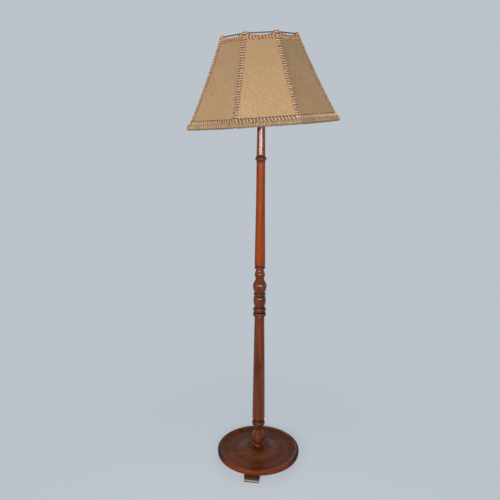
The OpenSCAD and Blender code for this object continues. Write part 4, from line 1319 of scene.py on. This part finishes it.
class LAMP_OT_bottom_braid(bpy.types.Operator):
    """Lay a flat rope round the bottom, under a thin dark cord"""

    bl_idname = "lamp.bottom_braid"
    bl_label = "Bottom Braid"

    # how far the strands start and end past the tape's two edges
    STRANDS_FROM, STRANDS_TO = -1.4 * MM, 1.2 * MM
    STRAND_BED = 0.8 * MM
    STRAND_POINTS = 7
    STRAND_STRAY = 0.05
    CORD_RADIUS = 1.05 * MM
    CORD_PLACE = (0.5 * MM, 0.9 * MM)
    CORD_POINTS = 641
    TAPE_STEP = 3 * MM

    def execute(self, context):
        cloth = context.scene.lamp_shade
        pale = yarn_finish("rope_yarn", cloth.rope, cloth.stitch)
        plain = yarn_finish("rope_cord", tinted(cloth.rope, 0.5), cloth.stitch)
        dark = yarn_finish("bottom_tape", cloth.stitch, tinted(cloth.stitch, 0.7))
        length = SHADE.side * SIDES
        half = LOW_BRAID_WIDTH / 2
        middle = LOW_BRAID_FROM + half
        past, bed = self.CORD_PLACE
        steps = self.CORD_POINTS - 1
        cord = [Vector((-half - past, length * i / steps, bed)) for i in range(self.CORD_POINTS)]
        layers = [
            self.strands(length, cloth.strand, offset=0, swell=1.4 * MM, radius=1.75 * MM),
            self.strands(length, cloth.strand, offset=0.5, swell=0.5 * MM, radius=1.25 * MM),
            tape_mesh(length, LOW_BRAID_WIDTH, self.TAPE_STEP),
            cords_mesh([cord], self.CORD_RADIUS),
        ]
        laid(
            "bottom_braid_rope", layers,
            lambda x, y, z: SHADE.on_rim(y, middle - x, SHADE.BRAID_IN - SEWN_IN + z),
            "bottom_braid", [pale, plain, dark, dark],
        )
        return {"FINISHED"}

    def strands(self, length, pitch, offset, swell, radius):
        """Slanting strands of the flat rope, side by side from its upper edge to its lower.
        They start at an offset, in strands, and stand out in a low arch."""
        high = -LOW_BRAID_WIDTH / 2 - self.STRANDS_FROM
        low = LOW_BRAID_WIDTH / 2 + self.STRANDS_TO
        count = round(length / pitch)
        step = length / count
        draw = random.Random(11)
        paths = []
        for i in range(count):
            stray = draw.uniform(-self.STRAND_STRAY, self.STRAND_STRAY)
            start = (i + offset + stray) * step
            path = []
            for j in range(self.STRAND_POINTS):
                t = j / (self.STRAND_POINTS - 1)
                out = self.STRAND_BED + swell * math.sin(math.pi * t)
                path.append(Vector((high + (low - high) * t, start + 0.5 * step * t, out)))
            paths.append(path)
        return cords_mesh(paths, radius)


class LAMP_OT_fringe(bpy.types.Operator):
    """Hang the looped fringe round the bottom wire"""

    bl_idname = "lamp.fringe"
    bl_label = "Looped Fringe"

    ROWS = 2
    POINTS = 9
    YARN = 1.7 * MM
    # where the fringe's painted shade starts, across it
    SHADE_LINE = -10 * MM
    HALF_TURNS = 1.18
    # in millimetres: a loop's drop and swell, how much less of both a loop of the second row
    # has, how much less every other loop swells, and how far loops stray
    DROP, SWELL = 15.2, 4.4
    SECOND_DROP, SECOND_SWELL = 2, 1.4
    TUCK = 1.6
    DROP_STRAY, SWELL_STRAY, LEAN = 0.8, 0.4, 0.8
    # how far a loop starts below the braid's edge and outside it, and how far in it ends
    START_BELOW, START_OUT, TUCKED_IN = 0.2 * MM, 1 * MM, 4.2 * MM

    def execute(self, context):
        cloth = context.scene.lamp_shade
        yarn = yarn_finish("fringe_yarn", cloth.fringe, tinted(cloth.fringe, 0.3), self.SHADE_LINE)
        dark = yarn_finish(
            "fringe_shade_yarn", tinted(cloth.fringe, 0.5), tinted(cloth.fringe, 0.2)
        )
        draw = random.Random(7)
        length = SHADE.side * SIDES
        count = round(length / cloth.loop_pitch)
        pitch = length / count
        rows = [
            cords_mesh([self.loop(i, pitch, row, draw) for i in range(count)], self.YARN)
            for row in range(self.ROWS)
        ]
        laid("fringe_loops", rows, lambda x, y, z: SHADE.on_rim(y, x, z), "fringe", [yarn, dark])
        return {"FINISHED"}

    def loop(self, index, pitch, row, draw):
        """One loop that bows out from under the braid, down and in beneath the wire. The
        second row hangs between the first, a little shorter and further in."""
        index += row / self.ROWS
        stray = draw.uniform(-self.DROP_STRAY, self.DROP_STRAY)
        drop = (self.DROP + stray - self.SECOND_DROP * row) * MM
        tuck = self.TUCK if round(index) % 2 else 0
        stray = draw.uniform(-self.SWELL_STRAY, self.SWELL_STRAY)
        swell = (self.SWELL - self.SECOND_SWELL * row - tuck + stray) * MM
        lean = draw.uniform(-self.LEAN, self.LEAN) * MM
        points = []
        for j in range(self.POINTS):
            t = j / (self.POINTS - 1)
            turn = self.HALF_TURNS * math.pi * t
            up = LOW_BRAID_FROM - self.START_BELOW - drop * (1 - math.cos(turn)) / 2
            bulge = swell * math.sin(turn) - self.TUCKED_IN * t * t
            out = SHADE.BRAID_IN + self.START_OUT + bulge
            points.append(Vector((up, index * pitch + lean * math.sin(math.pi * t), out)))
        return points


class LAMP_OT_stage(bpy.types.Operator):
    """Set the floor, backdrop, lights and camera"""

    bl_idname = "lamp.stage"
    bl_label = "Stage"

    FLOOR_RADIUS = 14
    SHADOW_KEPT = 0.3
    SHADOW_FADES = (0.3, 1.0)
    SHADOW_PAINT = 1.75
    SENSOR_WIDTH = 36
    CLIP = (0.05, 60)
    # each softbox's place, aim and size in metres, and whether polish reflects it
    SOFTBOXES = {
        "key": ((0.42, -2.68, 1.34), (0, 0, 1.2), (2.1, 0.3), True),
        "strip": ((-1.42, -2.28, 1.3), (0, 0, 1.2), (1.0, 0.3), True),
        "fill": ((2.3, -1.6, 1.5), (0, 0, 0.9), (1.4, 1.4), True),
        "rear": ((0.6, 2.6, 2.9), (0, 0, 1.3), (2.2, 1.6), False),
    }

    def execute(self, context):
        scene, stage = context.scene, context.scene.lamp_stage
        self.floor(scene, stage.backdrop)
        self.world(scene, stage)
        for name, box in self.SOFTBOXES.items():
            self.softbox(scene, name, *box, getattr(stage, f"{name}_power"))
        self.camera(scene, stage)
        scene.view_settings.view_transform = "Standard"
        return {"FINISHED"}

    def floor(self, scene, colour):
        bm = bmesh.new()
        bmesh.ops.create_circle(bm, cap_ends=True, segments=96, radius=self.FLOOR_RADIUS)
        mesh = mesh_of(bm, "floor")
        mesh.materials.append(self.floor_paint(colour))
        floor = bpy.data.objects.new("floor", mesh)
        scene.collection.objects.link(floor)

    def floor_paint(self, colour):
        """A pale floor that shows as the backdrop and keeps part of the lamp's shadow. The
        shadow is read on a paint so pale that its lit part matches the backdrop."""
        material = bpy.data.materials.new("floor_paint")
        material.use_nodes = True
        nodes = Nodes(material.node_tree)
        radius = nodes.length(nodes.place())
        kept = self.SHADOW_KEPT * (1 - radius.ramp(*self.SHADOW_FADES))
        glow = nodes.node("ShaderNodeEmission", values={"Color": colour, "Strength": 1})
        paint = nodes.node("ShaderNodeBsdfDiffuse", values={"Color": colour})
        pale = nodes.node(
            "ShaderNodeBsdfDiffuse", values={"Color": tinted(colour, self.SHADOW_PAINT)}
        )
        shown = nodes.node("ShaderNodeMixShader", values={0: kept, 1: glow, 2: pale})
        surface = nodes.node(
            "ShaderNodeMixShader", values={0: nodes.backdrop_rays(), 1: paint, 2: shown}
        )
        nodes.node("ShaderNodeOutputMaterial", values={"Surface": surface})
        return material

    @staticmethod
    def world(scene, stage):
        """A world that shows the backdrop's colour, and lights the lamp from all round."""
        scene.world = bpy.data.worlds.new("studio")
        scene.world.use_nodes = True
        nodes = Nodes(scene.world.node_tree)
        shown = nodes.node("ShaderNodeBackground", values={"Color": stage.backdrop})
        light = nodes.node(
            "ShaderNodeBackground", values={"Color": (1, 1, 1), "Strength": stage.daylight}
        )
        mixed = nodes.node(
            "ShaderNodeMixShader", values={0: nodes.backdrop_rays(), 1: light, 2: shown}
        )
        nodes.node("ShaderNodeOutputWorld", values={"Surface": mixed})

    @staticmethod
    def softbox(scene, name, place, aim, size, glint, power):
        """A rectangular light, turned to what it is aimed at."""
        light = bpy.data.lights.new(name, "AREA")
        light.shape = "RECTANGLE"
        light.size, light.size_y = size
        light.energy = power
        holder = bpy.data.objects.new(name, light)
        holder.location = place
        holder.rotation_euler = (Vector(aim) - Vector(place)).to_track_quat("-Z", "Y").to_euler()
        holder.visible_glossy = glint
        scene.collection.objects.link(holder)

    def camera(self, scene, stage):
        """The camera, looking along +Y from its distance and height, pitched, yawed and rolled."""
        data = bpy.data.cameras.new("camera")
        data.sensor_width = self.SENSOR_WIDTH
        data.lens = stage.lens
        data.clip_start, data.clip_end = self.CLIP
        pitch, yaw, roll = stage.camera_pitch, stage.camera_yaw, stage.camera_roll
        level = math.cos(pitch)
        ahead = Vector((math.sin(yaw) * level, math.cos(yaw) * level, -math.sin(pitch)))
        right = ahead.cross(Vector((0, 0, 1))).normalized()
        up = right.cross(ahead)
        rolled_right = right * math.cos(roll) + up * math.sin(roll)
        rolled_up = up * math.cos(roll) - right * math.sin(roll)
        turn = Matrix((rolled_right, rolled_up, -ahead)).transposed()
        camera = bpy.data.objects.new("camera", data)
        camera.location = (0, -stage.camera_distance, stage.camera_height)
        camera.rotation_euler = turn.to_euler()
        scene.collection.objects.link(camera)
        scene.camera = camera


class LAMP_OT_declare_cloth(bpy.types.Operator):
    bl_idname = "lamp.declare_cloth"
    bl_label = "Declare Cloth"

    def execute(self, context):
        wide = 2 * (SHADE.half_low + CLOTH_LAP)
        area = self.cut_area(wide)
        for k in range(1, SIDES + 1):
            trimming = [f"strut_braid_{k}_gimp", f"top_braid_{k}_gimp", f"top_winding_{k}_yarn"]
            if k == 1:
                trimming += ["bottom_braid_rope", "fringe_loops"]
        return {"FINISHED"}

    @staticmethod
    def cut_area(wide):
        """A flat panel's area: a trapezoid, less the dip of its top edge and the inward bow of
        its two sides, which are parabolas."""
        narrow = 2 * (SHADE.half_top + CLOTH_LAP)
        dip = CLOTH_DROOP * narrow * 2 / 3
        bow = SHADE.bow(0.5) * math.sin(HALF_ANGLE) * 2 * SHADE.panel_length * 2 / 3
        return (wide + narrow) / 2 * SHADE.panel_length - dip - bow


OPERATORS = (
    LAMP_OT_stage,
    LAMP_OT_base,
    LAMP_OT_column,
    LAMP_OT_fittings,
    LAMP_OT_holder,
    LAMP_OT_bulb,
    LAMP_OT_frame,
    LAMP_OT_panels,
    LAMP_OT_strut_braids,
    LAMP_OT_top_braid,
    LAMP_OT_bottom_braid,
    LAMP_OT_fringe,
    LAMP_OT_declare_cloth,
)


class LAMP_PT_sidebar(bpy.types.Panel):
    """Lists the lamp's settings and the operators that make its pieces."""

    bl_idname = "LAMP_PT_sidebar"
    bl_label = "Candlestick Floor Lamp"
    bl_space_type = "VIEW_3D"
    bl_region_type = "UI"
    bl_category = "Lamp"

    def draw(self, context):
        for group, settings in SETTINGS.items():
            box = self.layout.box()
            box.label(text=settings.__doc__)
            for name in settings.__annotations__:
                box.prop(getattr(context.scene, group), name)
        for operator in OPERATORS:
            self.layout.operator(operator.bl_idname)


CLASSES = (*SETTINGS.values(), *OPERATORS, LAMP_PT_sidebar)


def register():
    for cls in CLASSES:
        bpy.utils.register_class(cls)
    for name, settings in SETTINGS.items():
        setattr(bpy.types.Scene, name, PointerProperty(type=settings))


def unregister():
    for name in SETTINGS:
        delattr(bpy.types.Scene, name)
    for cls in reversed(CLASSES):
        bpy.utils.unregister_class(cls)


def main():
    """Makes every piece."""
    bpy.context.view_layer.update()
    register()
    for operator in OPERATORS:
        group, name = operator.bl_idname.split(".")
        getattr(getattr(bpy.ops, group), name)()


if __name__ == "__main__":
    main()
